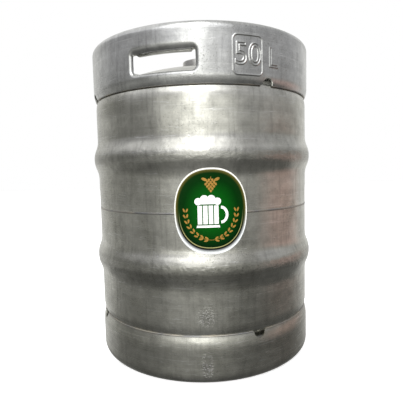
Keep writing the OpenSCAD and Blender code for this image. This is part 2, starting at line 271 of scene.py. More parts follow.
    wear = nodes.new("NodeFrame")
    wear.label = "Hoops beaten by rolling, painted shade on the crest"
    from_girth = nodes.new("ShaderNodeMath")
    from_girth.label = "Height from the girth"
    up_or_down = nodes.new("ShaderNodeMath")
    up_or_down.label = "Up or down"
    from_hoop = nodes.new("ShaderNodeMath")
    from_hoop.label = "Height from the hoop"
    off_hoop = nodes.new("ShaderNodeMath")
    off_hoop.label = "Above or below it"
    on_hoop = nodes.new("ShaderNodeMapRange")
    on_hoop.label = "On the hoop's crest"
    beating = nodes.new("ShaderNodeTexNoise")
    beating.label = "Beaten marks"
    beaten = nodes.new("ShaderNodeMath")
    beaten.label = "Beaten crest"
    # Painted shade: the base colour is darkened on the hoops' crests
    crest_painted_shade = nodes.new("ShaderNodeMapRange")
    crest_painted_shade.label = "Painted shade on the crest"
    crest_shaded_steel = nodes.new("ShaderNodeMix")
    crest_shaded_steel.label = "Steel with painted crest shade"
    beaten_bump = nodes.new("ShaderNodeBump")
    beaten_bump.label = "Beaten"
    for node, spot_at in (
        (from_girth, (-1500, -1150)), (up_or_down, (-1300, -1150)), (from_hoop, (-1100, -1150)),
        (off_hoop, (-900, -1150)), (on_hoop, (-700, -1150)), (beating, (-700, -1400)),
        (beaten, (-500, -1250)), (crest_painted_shade, (-300, -1250)), (crest_shaded_steel, (300, 0)),
        (beaten_bump, (1100, -700)),
    ):
        node.location, node.parent = spot_at, wear

    stain.inputs["Scale"].default_value = 9
    stain.inputs["Detail"].default_value = 7
    stain.inputs["Roughness"].default_value = 0.62
    stain.inputs["Distortion"].default_value = 0.5
    stain_edge.color_ramp.elements[0].position = 0.42
    stain_edge.color_ramp.elements[1].position = 0.66
    mottle.inputs["Scale"].default_value = 60
    mottle.inputs["Detail"].default_value = 5
    mottle.inputs["Roughness"].default_value = 0.65
    mottle_depth.inputs["From Min"].default_value = 0.3
    mottle_depth.inputs["From Max"].default_value = 0.7
    mottle_depth.inputs["To Min"].default_value = 0.78
    mottle_depth.inputs["To Max"].default_value = 1.08
    tone.data_type = "RGBA"
    tone.inputs["A"].default_value = (*steel, 1)
    tone.inputs["B"].default_value = (*soiled, 1)
    for node in (mottled, banded, rubbed, crest_shaded_steel):
        node.data_type = "RGBA"
        node.blend_type = "MULTIPLY"
        node.inputs["Factor"].default_value = 1
    round_keg.inputs["Scale"].default_value = (3, 3, 620)
    grain.inputs["Scale"].default_value = 1
    grain.inputs["Detail"].default_value = 3
    bands.inputs["Scale"].default_value = (2, 2, 90)
    band.inputs["Scale"].default_value = 1
    band.inputs["Detail"].default_value = 4
    band_depth.inputs["From Min"].default_value = 0.3
    band_depth.inputs["From Max"].default_value = 0.7
    band_depth.inputs["To Min"].default_value = 0.9
    band_depth.inputs["To Max"].default_value = 1.08
    up_keg.inputs["Scale"].default_value = (190, 190, 13)
    rub.inputs["Scale"].default_value = 1
    rub.inputs["Detail"].default_value = 4
    rub_depth.inputs["From Min"].default_value = 0.52
    rub_depth.inputs["From Max"].default_value = 0.74
    rub_depth.inputs["To Min"].default_value = 1.0
    rub_depth.inputs["To Max"].default_value = 0.8
    slant.inputs["Rotation"].default_value = (radians(9), radians(-6), 0)
    slant.inputs["Scale"].default_value = (5, 5, 130)
    scratch.inputs["Scale"].default_value = 1.6
    scratch.inputs["Detail"].default_value = 1
    scratch_edge.color_ramp.elements[0].position = 0.494
    scratch_edge.color_ramp.elements[0].color = (0, 0, 0, 1)
    scratch_edge.color_ramp.elements[1].position = 0.506
    scratch_edge.color_ramp.elements[1].color = (0, 0, 0, 1)
    line = scratch_edge.color_ramp.elements.new(0.5)
    line.color = (1, 1, 1, 1)
    pit.inputs["Scale"].default_value = 420
    pit.inputs["Detail"].default_value = 4
    pit_edge.color_ramp.elements[0].position = 0.60
    pit_edge.color_ramp.elements[1].position = 0.68
    pit_share.operation = "MULTIPLY"
    level.operation = "ABSOLUTE"
    upright.inputs["From Min"].default_value = 0.5
    upright.inputs["From Max"].default_value = 0.2
    wall_scratch.operation = "MULTIPLY"
    pitted.data_type = "RGBA"
    pitted.inputs["B"].default_value = (0.22, 0.22, 0.2, 1)
    scratched.data_type = "RGBA"
    scratched.inputs["B"].default_value = (0.78, 0.78, 0.76, 1)
    stain_gloss.inputs["To Min"].default_value = roughness
    stain_gloss.inputs["To Max"].default_value = roughness + 0.14
    grain_gloss.inputs["To Min"].default_value = -0.05
    grain_gloss.inputs["To Max"].default_value = 0.05
    gloss_sum.operation = "ADD"
    dent.inputs["Scale"].default_value = 17
    dent.inputs["Detail"].default_value = 2
    dent_bump.inputs["Strength"].default_value = 1
    dent_bump.inputs["Distance"].default_value = 0.0011
    peel.inputs["Scale"].default_value = 95
    peel.inputs["Detail"].default_value = 3
    peel_bump.inputs["Strength"].default_value = 1
    peel_bump.inputs["Distance"].default_value = 0.0002
    grain_bump.inputs["Strength"].default_value = 1
    grain_bump.inputs["Distance"].default_value = grain_depth
    pit_bump.inputs["Strength"].default_value = 1
    pit_bump.inputs["Distance"].default_value = 0.0001
    pit_bump.invert = True
    from_girth.operation = "SUBTRACT"
    from_girth.inputs[1].default_value = GIRTH_Z
    up_or_down.operation = "ABSOLUTE"
    from_hoop.operation = "SUBTRACT"
    from_hoop.inputs[1].default_value = HOOP_H
    off_hoop.operation = "ABSOLUTE"
    on_hoop.interpolation_type = "SMOOTHSTEP"
    on_hoop.inputs["From Min"].default_value = 0.015
    on_hoop.inputs["From Max"].default_value = 0.005
    beating.inputs["Scale"].default_value = 120
    beating.inputs["Detail"].default_value = 5
    beaten.operation = "MULTIPLY"
    crest_painted_shade.inputs["To Min"].default_value = 1
    crest_painted_shade.inputs["To Max"].default_value = 0.76 if hoop_dents_and_shade else 1
    beaten_bump.inputs["Strength"].default_value = 1
    beaten_bump.inputs["Distance"].default_value = hoop_dents_and_shade
    crest_gloss.operation = "MULTIPLY_ADD"
    crest_gloss.inputs[1].default_value = 0.04
    shader.inputs["Metallic"].default_value = 1

    links.new(place.outputs["Object"], split.inputs["Vector"])
    links.new(place.outputs["Object"], stain.inputs["Vector"])
    links.new(place.outputs["Object"], mottle.inputs["Vector"])
    links.new(place.outputs["Object"], pit.inputs["Vector"])
    links.new(place.outputs["Object"], dent.inputs["Vector"])
    links.new(place.outputs["Object"], peel.inputs["Vector"])
    links.new(place.outputs["Object"], beating.inputs["Vector"])
    links.new(place.outputs["Object"], round_keg.inputs["Vector"])
    links.new(round_keg.outputs["Vector"], grain.inputs["Vector"])
    links.new(place.outputs["Object"], bands.inputs["Vector"])
    links.new(bands.outputs["Vector"], band.inputs["Vector"])
    links.new(place.outputs["Object"], up_keg.inputs["Vector"])
    links.new(up_keg.outputs["Vector"], rub.inputs["Vector"])
    links.new(place.outputs["Object"], slant.inputs["Vector"])
    links.new(slant.outputs["Vector"], scratch.inputs["Vector"])
    links.new(stain.outputs["Fac"], stain_edge.inputs["Fac"])
    links.new(stain_edge.outputs["Color"], tone.inputs["Factor"])
    links.new(mottle.outputs["Fac"], mottle_depth.inputs["Value"])
    links.new(tone.outputs["Result"], mottled.inputs["A"])
    links.new(mottle_depth.outputs["Result"], mottled.inputs["B"])
    links.new(band.outputs["Fac"], band_depth.inputs["Value"])
    links.new(mottled.outputs["Result"], banded.inputs["A"])
    links.new(band_depth.outputs["Result"], banded.inputs["B"])
    links.new(rub.outputs["Fac"], rub_depth.inputs["Value"])
    links.new(banded.outputs["Result"], rubbed.inputs["A"])
    links.new(rub_depth.outputs["Result"], rubbed.inputs["B"])
    links.new(pit.outputs["Fac"], pit_edge.inputs["Fac"])
    links.new(pit_edge.outputs["Color"], pit_share.inputs[0])
    links.new(stain_edge.outputs["Color"], pit_share.inputs[1])
    links.new(pit_share.outputs[0], pitted.inputs["Factor"])
    links.new(rubbed.outputs["Result"], pitted.inputs["A"])
    links.new(scratch.outputs["Fac"], scratch_edge.inputs["Fac"])
    links.new(place.outputs["Normal"], facing.inputs["Vector"])
    links.new(facing.outputs["Z"], level.inputs[0])
    links.new(level.outputs[0], upright.inputs["Value"])
    links.new(scratch_edge.outputs["Color"], wall_scratch.inputs[0])
    links.new(upright.outputs["Result"], wall_scratch.inputs[1])
    links.new(wall_scratch.outputs[0], scratched.inputs["Factor"])
    links.new(pitted.outputs["Result"], scratched.inputs["A"])
    links.new(stain.outputs["Fac"], stain_gloss.inputs["Value"])
    links.new(grain.outputs["Fac"], grain_gloss.inputs["Value"])
    links.new(stain_gloss.outputs["Result"], gloss_sum.inputs[0])
    links.new(grain_gloss.outputs["Result"], gloss_sum.inputs[1])
    links.new(dent.outputs["Fac"], dent_bump.inputs["Height"])
    links.new(peel.outputs["Fac"], peel_bump.inputs["Height"])
    links.new(dent_bump.outputs["Normal"], peel_bump.inputs["Normal"])
    links.new(grain.outputs["Fac"], grain_bump.inputs["Height"])
    links.new(peel_bump.outputs["Normal"], grain_bump.inputs["Normal"])
    links.new(pit_share.outputs[0], pit_bump.inputs["Height"])
    links.new(grain_bump.outputs["Normal"], pit_bump.inputs["Normal"])
    links.new(split.outputs["Z"], from_girth.inputs[0])
    links.new(from_girth.outputs[0], up_or_down.inputs[0])
    links.new(up_or_down.outputs[0], from_hoop.inputs[0])
    links.new(from_hoop.outputs[0], off_hoop.inputs[0])
    links.new(off_hoop.outputs[0], on_hoop.inputs["Value"])
    links.new(on_hoop.outputs["Result"], beaten.inputs[0])
    links.new(beating.outputs["Fac"], beaten.inputs[1])
    links.new(beaten.outputs[0], beaten_bump.inputs["Height"])
    links.new(pit_bump.outputs["Normal"], beaten_bump.inputs["Normal"])
    links.new(on_hoop.outputs["Result"], crest_painted_shade.inputs["Value"])
    links.new(scratched.outputs["Result"], crest_shaded_steel.inputs["A"])
    links.new(crest_painted_shade.outputs["Result"], crest_shaded_steel.inputs["B"])
    links.new(crest_shaded_steel.outputs["Result"], shader.inputs["Base Color"])
    links.new(on_hoop.outputs["Result"], crest_gloss.inputs[0])
    links.new(gloss_sum.outputs[0], crest_gloss.inputs[2])
    links.new(crest_gloss.outputs[0], shader.inputs["Roughness"])
    links.new(beaten_bump.outputs["Normal"], shader.inputs["Normal"])
    links.new(shader.outputs["BSDF"], output.inputs["Surface"])

    if scuff_and_glint:
        scrape = nodes.new("NodeFrame")
        scrape.label = "Scuffed patch, painted glint"
        spot = nodes.new("ShaderNodeMapping")
        spot.label = "Centre of the patch"
        reach = nodes.new("ShaderNodeVectorMath")
        reach.label = "Distance from it"
        within = nodes.new("ShaderNodeMapRange")
        within.label = "Inside the patch"
        gouge = nodes.new("ShaderNodeTexNoise")
        gouge.label = "Gouges"
        gouge_edge = nodes.new("ShaderNodeMapRange")
        gouge_edge.label = "Sharp gouges"
        gouged = nodes.new("ShaderNodeMath")
        gouged.label = "Gouges in the patch"
        # The gouges are real wear, bumped into the sheet; their brightened colour is a painted glint
        bright = nodes.new("ShaderNodeMix")
        bright.label = "Bare metal, painted glint"
        gouge_bump = nodes.new("ShaderNodeBump")
        gouge_bump.label = "Gouged"
        for node, spot_at in (
            (spot, (-900, -1700)), (reach, (-700, -1700)), (within, (-500, -1700)),
            (gouge, (-700, -1950)), (gouge_edge, (-500, -1950)), (gouged, (-300, -1800)),
            (bright, (1100, 200)), (gouge_bump, (1100, -1000)),
        ):
            node.location, node.parent = spot_at, scrape
        spot.vector_type = "TEXTURE"
        spot.inputs["Location"].default_value = scuff_and_glint["middle"]
        spot.inputs["Scale"].default_value = (scuff_and_glint["half_width"], 0.05, scuff_and_glint["half_height"])
        reach.operation = "LENGTH"
        within.interpolation_type = "SMOOTHSTEP"
        within.inputs["From Min"].default_value = 1
        within.inputs["From Max"].default_value = 0.25
        within.inputs["To Max"].default_value = scuff_and_glint["strength"]
        gouge.inputs["Scale"].default_value = 330
        gouge.inputs["Detail"].default_value = 6
        gouge.inputs["Roughness"].default_value = 0.7
        gouge_edge.inputs["From Min"].default_value = 0.5
        gouge_edge.inputs["From Max"].default_value = 0.62
        gouged.operation = "MULTIPLY"
        bright.data_type = "RGBA"
        bright.inputs["B"].default_value = (0.92, 0.91, 0.88, 1)
        gouge_bump.inputs["Strength"].default_value = 1
        gouge_bump.inputs["Distance"].default_value = 0.0008
        links.new(place.outputs["Object"], spot.inputs["Vector"])
        links.new(spot.outputs["Vector"], reach.inputs[0])
        links.new(reach.outputs["Value"], within.inputs["Value"])
        links.new(place.outputs["Object"], gouge.inputs["Vector"])
        links.new(gouge.outputs["Fac"], gouge_edge.inputs["Value"])
        links.new(within.outputs["Result"], gouged.inputs[0])
        links.new(gouge_edge.outputs["Result"], gouged.inputs[1])
        links.new(gouged.outputs[0], bright.inputs["Factor"])
        links.new(crest_shaded_steel.outputs["Result"], bright.inputs["A"])
        links.new(bright.outputs["Result"], shader.inputs["Base Color"])
        links.new(gouged.outputs[0], gouge_bump.inputs["Height"])
        links.new(beaten_bump.outputs["Normal"], gouge_bump.inputs["Normal"])
        links.new(gouge_bump.outputs["Normal"], shader.inputs["Normal"])
    return finish


def pressed_half(name, node, side, end_r, material):
    half = bmesh.new()
    tip = half.verts.new((WALL_R, 0, GIRTH_Z + side * ROOT_GAP_HALF))
    tip = draw_to(half, tip, WALL_R, GIRTH_Z + side * (HOOP_H - HOOP_HALF), 10)
    tip = swing(half, tip, WALL_R + hoop_curve, tip.co.z, -side * hoop_turn, 8)
    hoop_z = GIRTH_Z + side * HOOP_H
    tip = swing(half, tip, WALL_R + HOOP_RISE - hoop_curve, hoop_z, side * 2 * hoop_turn, 16)
    tip = swing(half, tip, WALL_R + hoop_curve, hoop_z + side * HOOP_HALF, -side * hoop_turn, 8)
    knuckle_z = GIRTH_Z + side * KNUCKLE_H
    tip = draw_to(half, tip, WALL_R, knuckle_z, 10)
    tip = swing(half, tip, WALL_R - KNUCKLE_R, knuckle_z, side * knuckle_turn, 14)
    crown_turn = pi / 2 - asin(end_r / CROWN_R) - knuckle_turn
    tip = swing(half, tip, 0, knuckle_z - side * crown_drop, side * crown_turn, 16)
    if end_r > NECK_HOLE_R:
        # The dome's middle is pressed into a shallow sump, which eases down to a flat floor
        crown_z = knuckle_z - side * crown_drop
        sump_rings = 24
        for step in range(1, sump_rings + 1):
            radius = end_r * (1 - step / sump_rings)
            sunk = max(0.0, min(1.0, (end_r - radius) / (end_r - SUMP_FLOOR_R)))
            sunk = sunk * sunk * (3 - 2 * sunk)
            depth = sqrt(CROWN_R ** 2 - radius ** 2) + SUMP_DEPTH * sunk
            tip = draw_to(half, tip, radius, crown_z + side * depth)
    turn_full(half, 256)
    for point in half.verts:
        ripple = 0.5 + 0.5 * noise.noise(point.co * 16) + 0.2 * noise.noise(point.co * 40)
        point.co -= SHEET_RIPPLE * ripple * outward(point.co)
    bmesh.ops.recalc_face_normals(half, faces=half.faces[:])
    bmesh.ops.solidify(half, geom=half.faces[:], thickness=SHELL_SHEET)
    return finish_piece(half, name, material, node, "keg")


body_steel = worn_stainless(
    "worn_body_steel", steel=(0.67, 0.665, 0.61), soiled=(0.49, 0.485, 0.43), roughness=0.18,
    grain_depth=0.00003, hoop_dents_and_shade=0.0008,
    scuff_and_glint={"middle": (-0.010, -0.19, 0.105), "half_width": 0.020, "half_height": 0.022, "strength": 0.35},
)
pressed_half("upper_half", "upper_shell", 1, NECK_HOLE_R, body_steel)
pressed_half("lower_half", "lower_shell", -1, SUMP_R, body_steel)


# ---- Girth weld ------------------------------------------------------------
# The halves are butt welded by an automatic torch, which leaves a low bead ground nearly flush.

BEAD_HALF = 0.002
BEAD_RISE = 0.00025
BEAD_SUNK = 0.0003
BEAD_ROOT_HALF = 0.001


def weld_metal(name):
    finish = bpy.data.materials.new(name)
    nodes, links = bare_tree(finish)
    place = nodes.new("ShaderNodeTexCoord")
    place.label = "Place on the keg"
    place.location = (-900, 0)
    heat = nodes.new("ShaderNodeTexNoise")
    heat.label = "Heat tint"
    tint = nodes.new("ShaderNodeValToRGB")
    tint.label = "Grey to straw"
    ripple = nodes.new("ShaderNodeTexNoise")
    ripple.label = "Solidification ripples"
    rippled = nodes.new("ShaderNodeBump")
    rippled.label = "Rippled bead"
    shader = nodes.new("ShaderNodeBsdfPrincipled")
    shader.label = "Weld metal"
    shader.location = (100, 0)
    output = nodes.new("ShaderNodeOutputMaterial")
    output.label = "Surface"
    output.location = (400, 0)
    bead = nodes.new("NodeFrame")
    bead.label = "Bead"
    for node, spot_at in (
        (heat, (-700, 200)), (tint, (-450, 200)), (ripple, (-700, -200)), (rippled, (-200, -200)),
    ):
        node.location, node.parent = spot_at, bead
    heat.inputs["Scale"].default_value = 40
    heat.inputs["Detail"].default_value = 4
    tint.color_ramp.elements[0].position = 0.35
    tint.color_ramp.elements[0].color = (0.36, 0.36, 0.36, 1)
    tint.color_ramp.elements[1].position = 0.7
    tint.color_ramp.elements[1].color = (0.56, 0.52, 0.44, 1)
    ripple.inputs["Scale"].default_value = 520
    ripple.inputs["Detail"].default_value = 2
    rippled.inputs["Strength"].default_value = 1
    rippled.inputs["Distance"].default_value = 0.00012
    shader.inputs["Metallic"].default_value = 1
    shader.inputs["Roughness"].default_value = 0.42
    links.new(place.outputs["Object"], heat.inputs["Vector"])
    links.new(place.outputs["Object"], ripple.inputs["Vector"])
    links.new(heat.outputs["Fac"], tint.inputs["Fac"])
    links.new(ripple.outputs["Fac"], rippled.inputs["Height"])
    links.new(tint.outputs["Color"], shader.inputs["Base Color"])
    links.new(rippled.outputs["Normal"], shader.inputs["Normal"])
    links.new(shader.outputs["BSDF"], output.inputs["Surface"])
    return finish


bead_metal = weld_metal("weld_bead")
bead = bmesh.new()
tip = first = bead.verts.new((WALL_R - BEAD_SUNK, 0, GIRTH_Z - BEAD_HALF))
bead_curve = (BEAD_HALF ** 2 + (BEAD_RISE + BEAD_SUNK) ** 2) / (2 * (BEAD_RISE + BEAD_SUNK))
bead_turn = 2 * asin(BEAD_HALF / bead_curve)
tip = swing(bead, tip, WALL_R + BEAD_RISE - bead_curve, GIRTH_Z, bead_turn, 8)
tip = draw_to(bead, tip, WALL_R - SHELL_SHEET - BEAD_RISE, GIRTH_Z + BEAD_ROOT_HALF)
tip = draw_to(bead, tip, WALL_R - SHELL_SHEET - BEAD_RISE, GIRTH_Z - BEAD_ROOT_HALF)
bead.edges.new((tip, first))
turn_full(bead, 256)
finish_piece(bead, "girth_bead", bead_metal, "girth_weld", "keg")


# ---- Chimes ----------------------------------------------------------------
# Both chimes start as a flat strip of 2 mm sheet. The drains and the hand holes are punched, the edges
# and the grips are rolled, and the strip is bent into a ring and welded to the knuckle.

CHIME_SHEET = 0.002
DRAIN_R = 0.010


def boundary_near(strip, test):
    return [edge for edge in strip.edges if edge.is_boundary and all(test(v.co) for v in edge.verts)]


def roll_edge(strip, edges, centre_out, centre_h, radius, start, stop, steps, down):
    # A rolled edge: each ring of the edge is pulled out of the last one and set on the roll
    for step in range(1, steps + 1):
        rolled = bmesh.ops.extrude_edge_only(strip, edges=edges)["geom"]
        angle = radians(start + (stop - start) * step / steps)
        for point in points_in(rolled):
            point.co.z = centre_out + radius * cos(angle)
            point.co.y = centre_h + down * radius * sin(angle)
        edges = edges_in(rolled)
    return edges


def punch_drains(strip, places, edge_h):
    for along in places:
        inside = [
            face for face in strip.faces
            if hypot(face.calc_center_median().x - along, face.calc_center_median().y - edge_h) < DRAIN_R
        ]
        rim = {v for face in inside for v in face.verts}
        bmesh.ops.delete(strip, geom=inside, context="FACES")
        for point in (v for v in rim if v.is_valid and v.is_boundary):
            reach = Vector((point.co.x - along, point.co.y - edge_h))
            if reach.length > 1e-6:
                reach = reach.normalized() * DRAIN_R
                point.co.x, point.co.y = along + reach.x, edge_h + reach.y


def bend_round(strip, ring_r, middle_az, taper_r, taper_top, down):
    for point in strip.verts:
        depth = max(0.0, down * (taper_top - point.co.y))
        wall = ring_r - taper_r + sqrt(taper_r ** 2 - depth ** 2) if depth else ring_r
        az = point.co.x / ring_r + radians(middle_az)
        radius = wall + point.co.z
        point.co = Vector((radius * sin(az), -radius * cos(az), point.co.y))
    bmesh.ops.remove_doubles(strip, verts=strip.verts[:], dist=2e-5)
    bmesh.ops.recalc_face_normals(strip, faces=strip.faces[:])
    outer = max(strip.faces, key=lambda face: face.calc_center_median().xy.length)
    if outer.normal.dot(outward(outer.calc_center_median())) < 0:
        bmesh.ops.reverse_faces(strip, faces=strip.faces[:])


chime_steel = worn_stainless(
    "worn_chime_steel", steel=(0.68, 0.685, 0.67), soiled=(0.54, 0.545, 0.53), roughness=0.18,
    grain_depth=0.000015, hoop_dents_and_shade=0, scuff_and_glint=None,
)
foot_steel = worn_stainless(
    "worn_foot_steel", steel=(0.61, 0.605, 0.55), soiled=(0.43, 0.426, 0.378), roughness=0.20,
    grain_depth=0.00003, hoop_dents_and_shade=0,
    scuff_and_glint={"middle": (-0.010, -0.19, 0.031), "half_width": 0.012, "half_height": 0.026, "strength": 1},
)

# The collar: its strip is centred a quarter turn from the hand holes, so each hole lies on the grid
COLLAR_R = 0.1933
COLLAR_EDGE_Z = 0.445
COLLAR_TAPER_R = 0.030
COLLAR_EDGE_R = 0.1902
COLLAR_DRAINS = (28, -73, 208, 107)
RIM_R = 0.010
RIM_FLAT = 0.003
RIM_Z = 0.532
HAND_AZ = -20
GRIP_R = 0.0115
GRIP_TURN = 188
FLANGE_R = 0.0055
FLANGE_TURN = 90
HOLE_CORNER = 0.012
HOLE_ROLL_STEPS = 14

collar_length = 2 * pi * COLLAR_R
collar_columns, collar_rows = 504, 35
column = collar_length / collar_columns
row = (RIM_Z - RIM_R - COLLAR_EDGE_Z) / collar_rows
hole_half = 23 * column
hole_low, hole_high = COLLAR_EDGE_Z + 6 * row, COLLAR_EDGE_Z + 26 * row
taper_h = sqrt(COLLAR_TAPER_R ** 2 - (COLLAR_TAPER_R - (COLLAR_R - COLLAR_EDGE_R)) ** 2)

collar = bmesh.new()
bmesh.ops.create_grid(collar, x_segments=collar_columns, y_segments=collar_rows, size=0.5)
bmesh.ops.scale(collar, verts=collar.verts[:], vec=(collar_length, row * collar_rows, 1))
bmesh.ops.translate(collar, verts=collar.verts[:], vec=(0, COLLAR_EDGE_Z + row * collar_rows / 2, 0))
middle_az = HAND_AZ + 90
drain_places = [radians((az - middle_az + 180) % 360 - 180) * COLLAR_R for az in COLLAR_DRAINS]
punch_drains(collar, drain_places, COLLAR_EDGE_Z)
top_edge = boundary_near(collar, lambda co: abs(co.y - (RIM_Z - RIM_R)) < 1e-6)

start_co = collar.verts.layers.float_vector.new("hole_edge")
inward_dir = collar.verts.layers.float_vector.new("hole_inward")
for side in (-1, 1):
    hole = Vector((side * collar_length / 4, (hole_low + hole_high) / 2))
    half = Vector((hole_half, (hole_high - hole_low) / 2))
    corner_cut = []
    for face in collar.faces:
        middle = face.calc_center_median()
        reach = Vector([abs(middle[i] - hole[i]) - (half[i] - HOLE_CORNER) for i in (0, 1)])
        if max(reach) < HOLE_CORNER and (min(reach) < 0 or reach.length < HOLE_CORNER):
            corner_cut.append(face)
    rim = {v for face in corner_cut for v in face.verts}
    bmesh.ops.delete(collar, geom=corner_cut, context="FACES")
    rim = {v for v in rim if v.is_valid and v.is_boundary}
    for point in rim:
        reach = Vector([abs(point.co[i] - hole[i]) - (half[i] - HOLE_CORNER) for i in (0, 1)])
        sign = Vector([1 if point.co[i] > hole[i] else -1 for i in (0, 1)])
        if min(reach) > 0:
            reach.normalize()
            point.co.x = hole.x + sign.x * (half.x - HOLE_CORNER + HOLE_CORNER * reach.x)
            point.co.y = hole.y + sign.y * (half.y - HOLE_CORNER + HOLE_CORNER * reach.y)
            inward = Vector((-sign.x * reach.x, -sign.y * reach.y, 0))
        elif reach.x > reach.y:
            inward = Vector((-sign.x, 0, 0))
        else:
            inward = Vector((0, -sign.y, 0))
        point[start_co] = point.co
        point[inward_dir] = inward
    edges = [edge for edge in collar.edges if edge.is_boundary and all(v in rim for v in edge.verts)]
    for step in range(1, HOLE_ROLL_STEPS + 1):
        # The top of each hole is rolled right round into a grip, and the rest into a plain flange
        rolled = bmesh.ops.extrude_edge_only(collar, edges=edges)["geom"]
        for point in points_in(rolled):
            inward = point[inward_dir]
            lip = max(0.0, min(1.0, -inward.y)) ** 2
            radius = FLANGE_R + (GRIP_R - FLANGE_R) * lip
            angle = radians(FLANGE_TURN + (GRIP_TURN - FLANGE_TURN) * lip) * step / HOLE_ROLL_STEPS
            point.co = point[start_co] + inward * radius * sin(angle)
            point.co.z = -radius * (1 - cos(angle))
        edges = edges_in(rolled)

edges = roll_edge(collar, top_edge, -RIM_R, RIM_Z - RIM_R, RIM_R, 0, 90, 8, 1)
edges = roll_edge(collar, edges, -RIM_R - RIM_FLAT, RIM_Z - RIM_R, RIM_R, 90, 200, 10, 1)
bend_round(collar, COLLAR_R, middle_az, COLLAR_TAPER_R, COLLAR_EDGE_Z + taper_h, 1)
bmesh.ops.solidify(collar, geom=collar.faces[:], thickness=CHIME_SHEET)

# The capacity mark: fifty litres, pressed from inside as raised lines in a rounded frame
MARK_RISE = 0.0009
MARK_LINE = 0.0017
MARK_STEP = 0.0004
MARK_AZ = 17.6
MARK_Z = 0.4845
MARK_FRAME_HALF = (0.0235, 0.0275)
MARK_FRAME_CORNER = 0.007
MARK_SPAN_AZ = (9, 41)
MARK_SPAN_Z = (0.454, 0.515)
OUTER_SKIN_R = COLLAR_R - 0.0018


def by_mark(spot):
    az = degrees(atan2(spot.x, -spot.y))
    in_span = MARK_SPAN_AZ[0] < az < MARK_SPAN_AZ[1] and MARK_SPAN_Z[0] < spot.z < MARK_SPAN_Z[1]
    return in_span and spot.xy.length > OUTER_SKIN_R


mark_points = []
outline = bmesh.new()
bmesh.ops.create_grid(outline, x_segments=1, y_segments=1, size=0.5)
bmesh.ops.scale(outline, verts=outline.verts[:], vec=(2 * MARK_FRAME_HALF[0], 2 * MARK_FRAME_HALF[1], 1))
bmesh.ops.bevel(
    outline, geom=outline.verts[:], offset=MARK_FRAME_CORNER, affect="VERTICES", segments=8, profile=0.5,
    material=-1,
)
bmesh.ops.translate(outline, verts=outline.verts[:], vec=(radians(MARK_AZ) * COLLAR_R, MARK_Z, 0))
for edge in outline.edges:
    for step in range(1 + int(edge.calc_length() / MARK_STEP)):
        mark_points.append(edge.verts[0].co.lerp(edge.verts[1].co, step * MARK_STEP / edge.calc_length()))
outline.free()
for words, size, az, height in (("50", 0.044, MARK_AZ, MARK_Z), ("L", 0.040, MARK_AZ + 13, MARK_Z - 0.001)):
    lettering = bpy.data.curves.new("capacity_mark", "FONT")
    lettering.body = words
    lettering.size = size
    lettering.fill_mode = "NONE"
    lettering.align_x = "CENTER"
    lettering.align_y = "CENTER"
    lettering.resolution_u = 5
    words_object = bpy.data.objects.new("capacity_mark", lettering)
    bpy.context.scene.collection.objects.link(words_object)
    bpy.context.view_layer.update()
    lines = words_object.to_mesh()
    for edge in lines.edges:
        a, b = (lines.vertices[i].co for i in edge.vertices)
        for step in range(1 + int((b - a).length / MARK_STEP)):
            on_line = a.lerp(b, step * MARK_STEP / max((b - a).length, 1e-9))
            mark_points.append(on_line + Vector((radians(az) * COLLAR_R, height, 0)))
    words_object.to_mesh_clear()
    bpy.data.objects.remove(words_object)
    bpy.data.curves.remove(lettering)
marks = kdtree.KDTree(len(mark_points))
for index, point in enumerate(mark_points):
    marks.insert((point.x, point.y, 0), index)
marks.balance()

# The outer sheet round the mark is divided finely enough to carry its lines, which are then raised
pressed = [
    face for face in collar.faces
    if by_mark(face.calc_center_median()) and face.normal.dot(outward(face.calc_center_median())) > 0
]
pressed_edges = list({edge for face in pressed for edge in face.edges})
bmesh.ops.subdivide_edges(collar, edges=pressed_edges, cuts=3, use_grid_fill=True)
for point in collar.verts:
    if not by_mark(point.co):
        continue
    near = marks.find((atan2(point.co.x, -point.co.y) * COLLAR_R, point.co.z, 0))[2]
    if near < MARK_LINE:
        rise = 1 - (near / MARK_LINE) ** 2
        point.co += MARK_RISE * rise * rise * outward(point.co)
finish_piece(collar, "collar", chime_steel, "top_chime", "keg")

# The foot ring: the same sheet, rolled under at its foot to stand on
FOOT_R = 0.192
FOOT_EDGE_Z = 0.075
FOOT_TAPER_R = 0.060
FOOT_EDGE_R = 0.1880
FOOT_DRAINS = (22.5, -71.5, 202.5, 108.5)
FOOT_CORNER_R = 0.015
FOOT_FLAT = 0.005
FOOT_CURL_R = 0.008

foot_length = 2 * pi * FOOT_R
foot = bmesh.new()
bmesh.ops.create_grid(foot, x_segments=504, y_segments=27, size=0.5)
bmesh.ops.scale(foot, verts=foot.verts[:], vec=(foot_length, FOOT_EDGE_Z - FOOT_CORNER_R, 1))
bmesh.ops.translate(foot, verts=foot.verts[:], vec=(0, (FOOT_EDGE_Z + FOOT_CORNER_R) / 2, 0))
drain_places = [radians((az + 180) % 360 - 180) * FOOT_R for az in FOOT_DRAINS]
punch_drains(foot, drain_places, FOOT_EDGE_Z)
edges = boundary_near(foot, lambda co: abs(co.y - FOOT_CORNER_R) < 1e-6)
edges = roll_edge(foot, edges, -FOOT_CORNER_R, FOOT_CORNER_R, FOOT_CORNER_R, 0, 90, 12, -1)
edges = roll_edge(foot, edges, -FOOT_CORNER_R - FOOT_FLAT, FOOT_CURL_R, FOOT_CURL_R, 90, 200, 10, -1)
foot_taper = sqrt(FOOT_TAPER_R ** 2 - (FOOT_TAPER_R - (FOOT_R - FOOT_EDGE_R)) ** 2)
bend_round(foot, FOOT_R, 0, FOOT_TAPER_R, FOOT_EDGE_Z - foot_taper, -1)
bmesh.ops.solidify(foot, geom=foot.faces[:], thickness=CHIME_SHEET)
finish_piece(foot, "foot_ring", foot_steel, "foot_chime", "keg")

# The outer welds: a thin bead along each chime's edge
OUTER_BEAD_R = 0.0012
BEAD_GAP = 3.6
COLLAR_BEAD_R = 0.1889
FOOT_BEAD_R = 0.1881


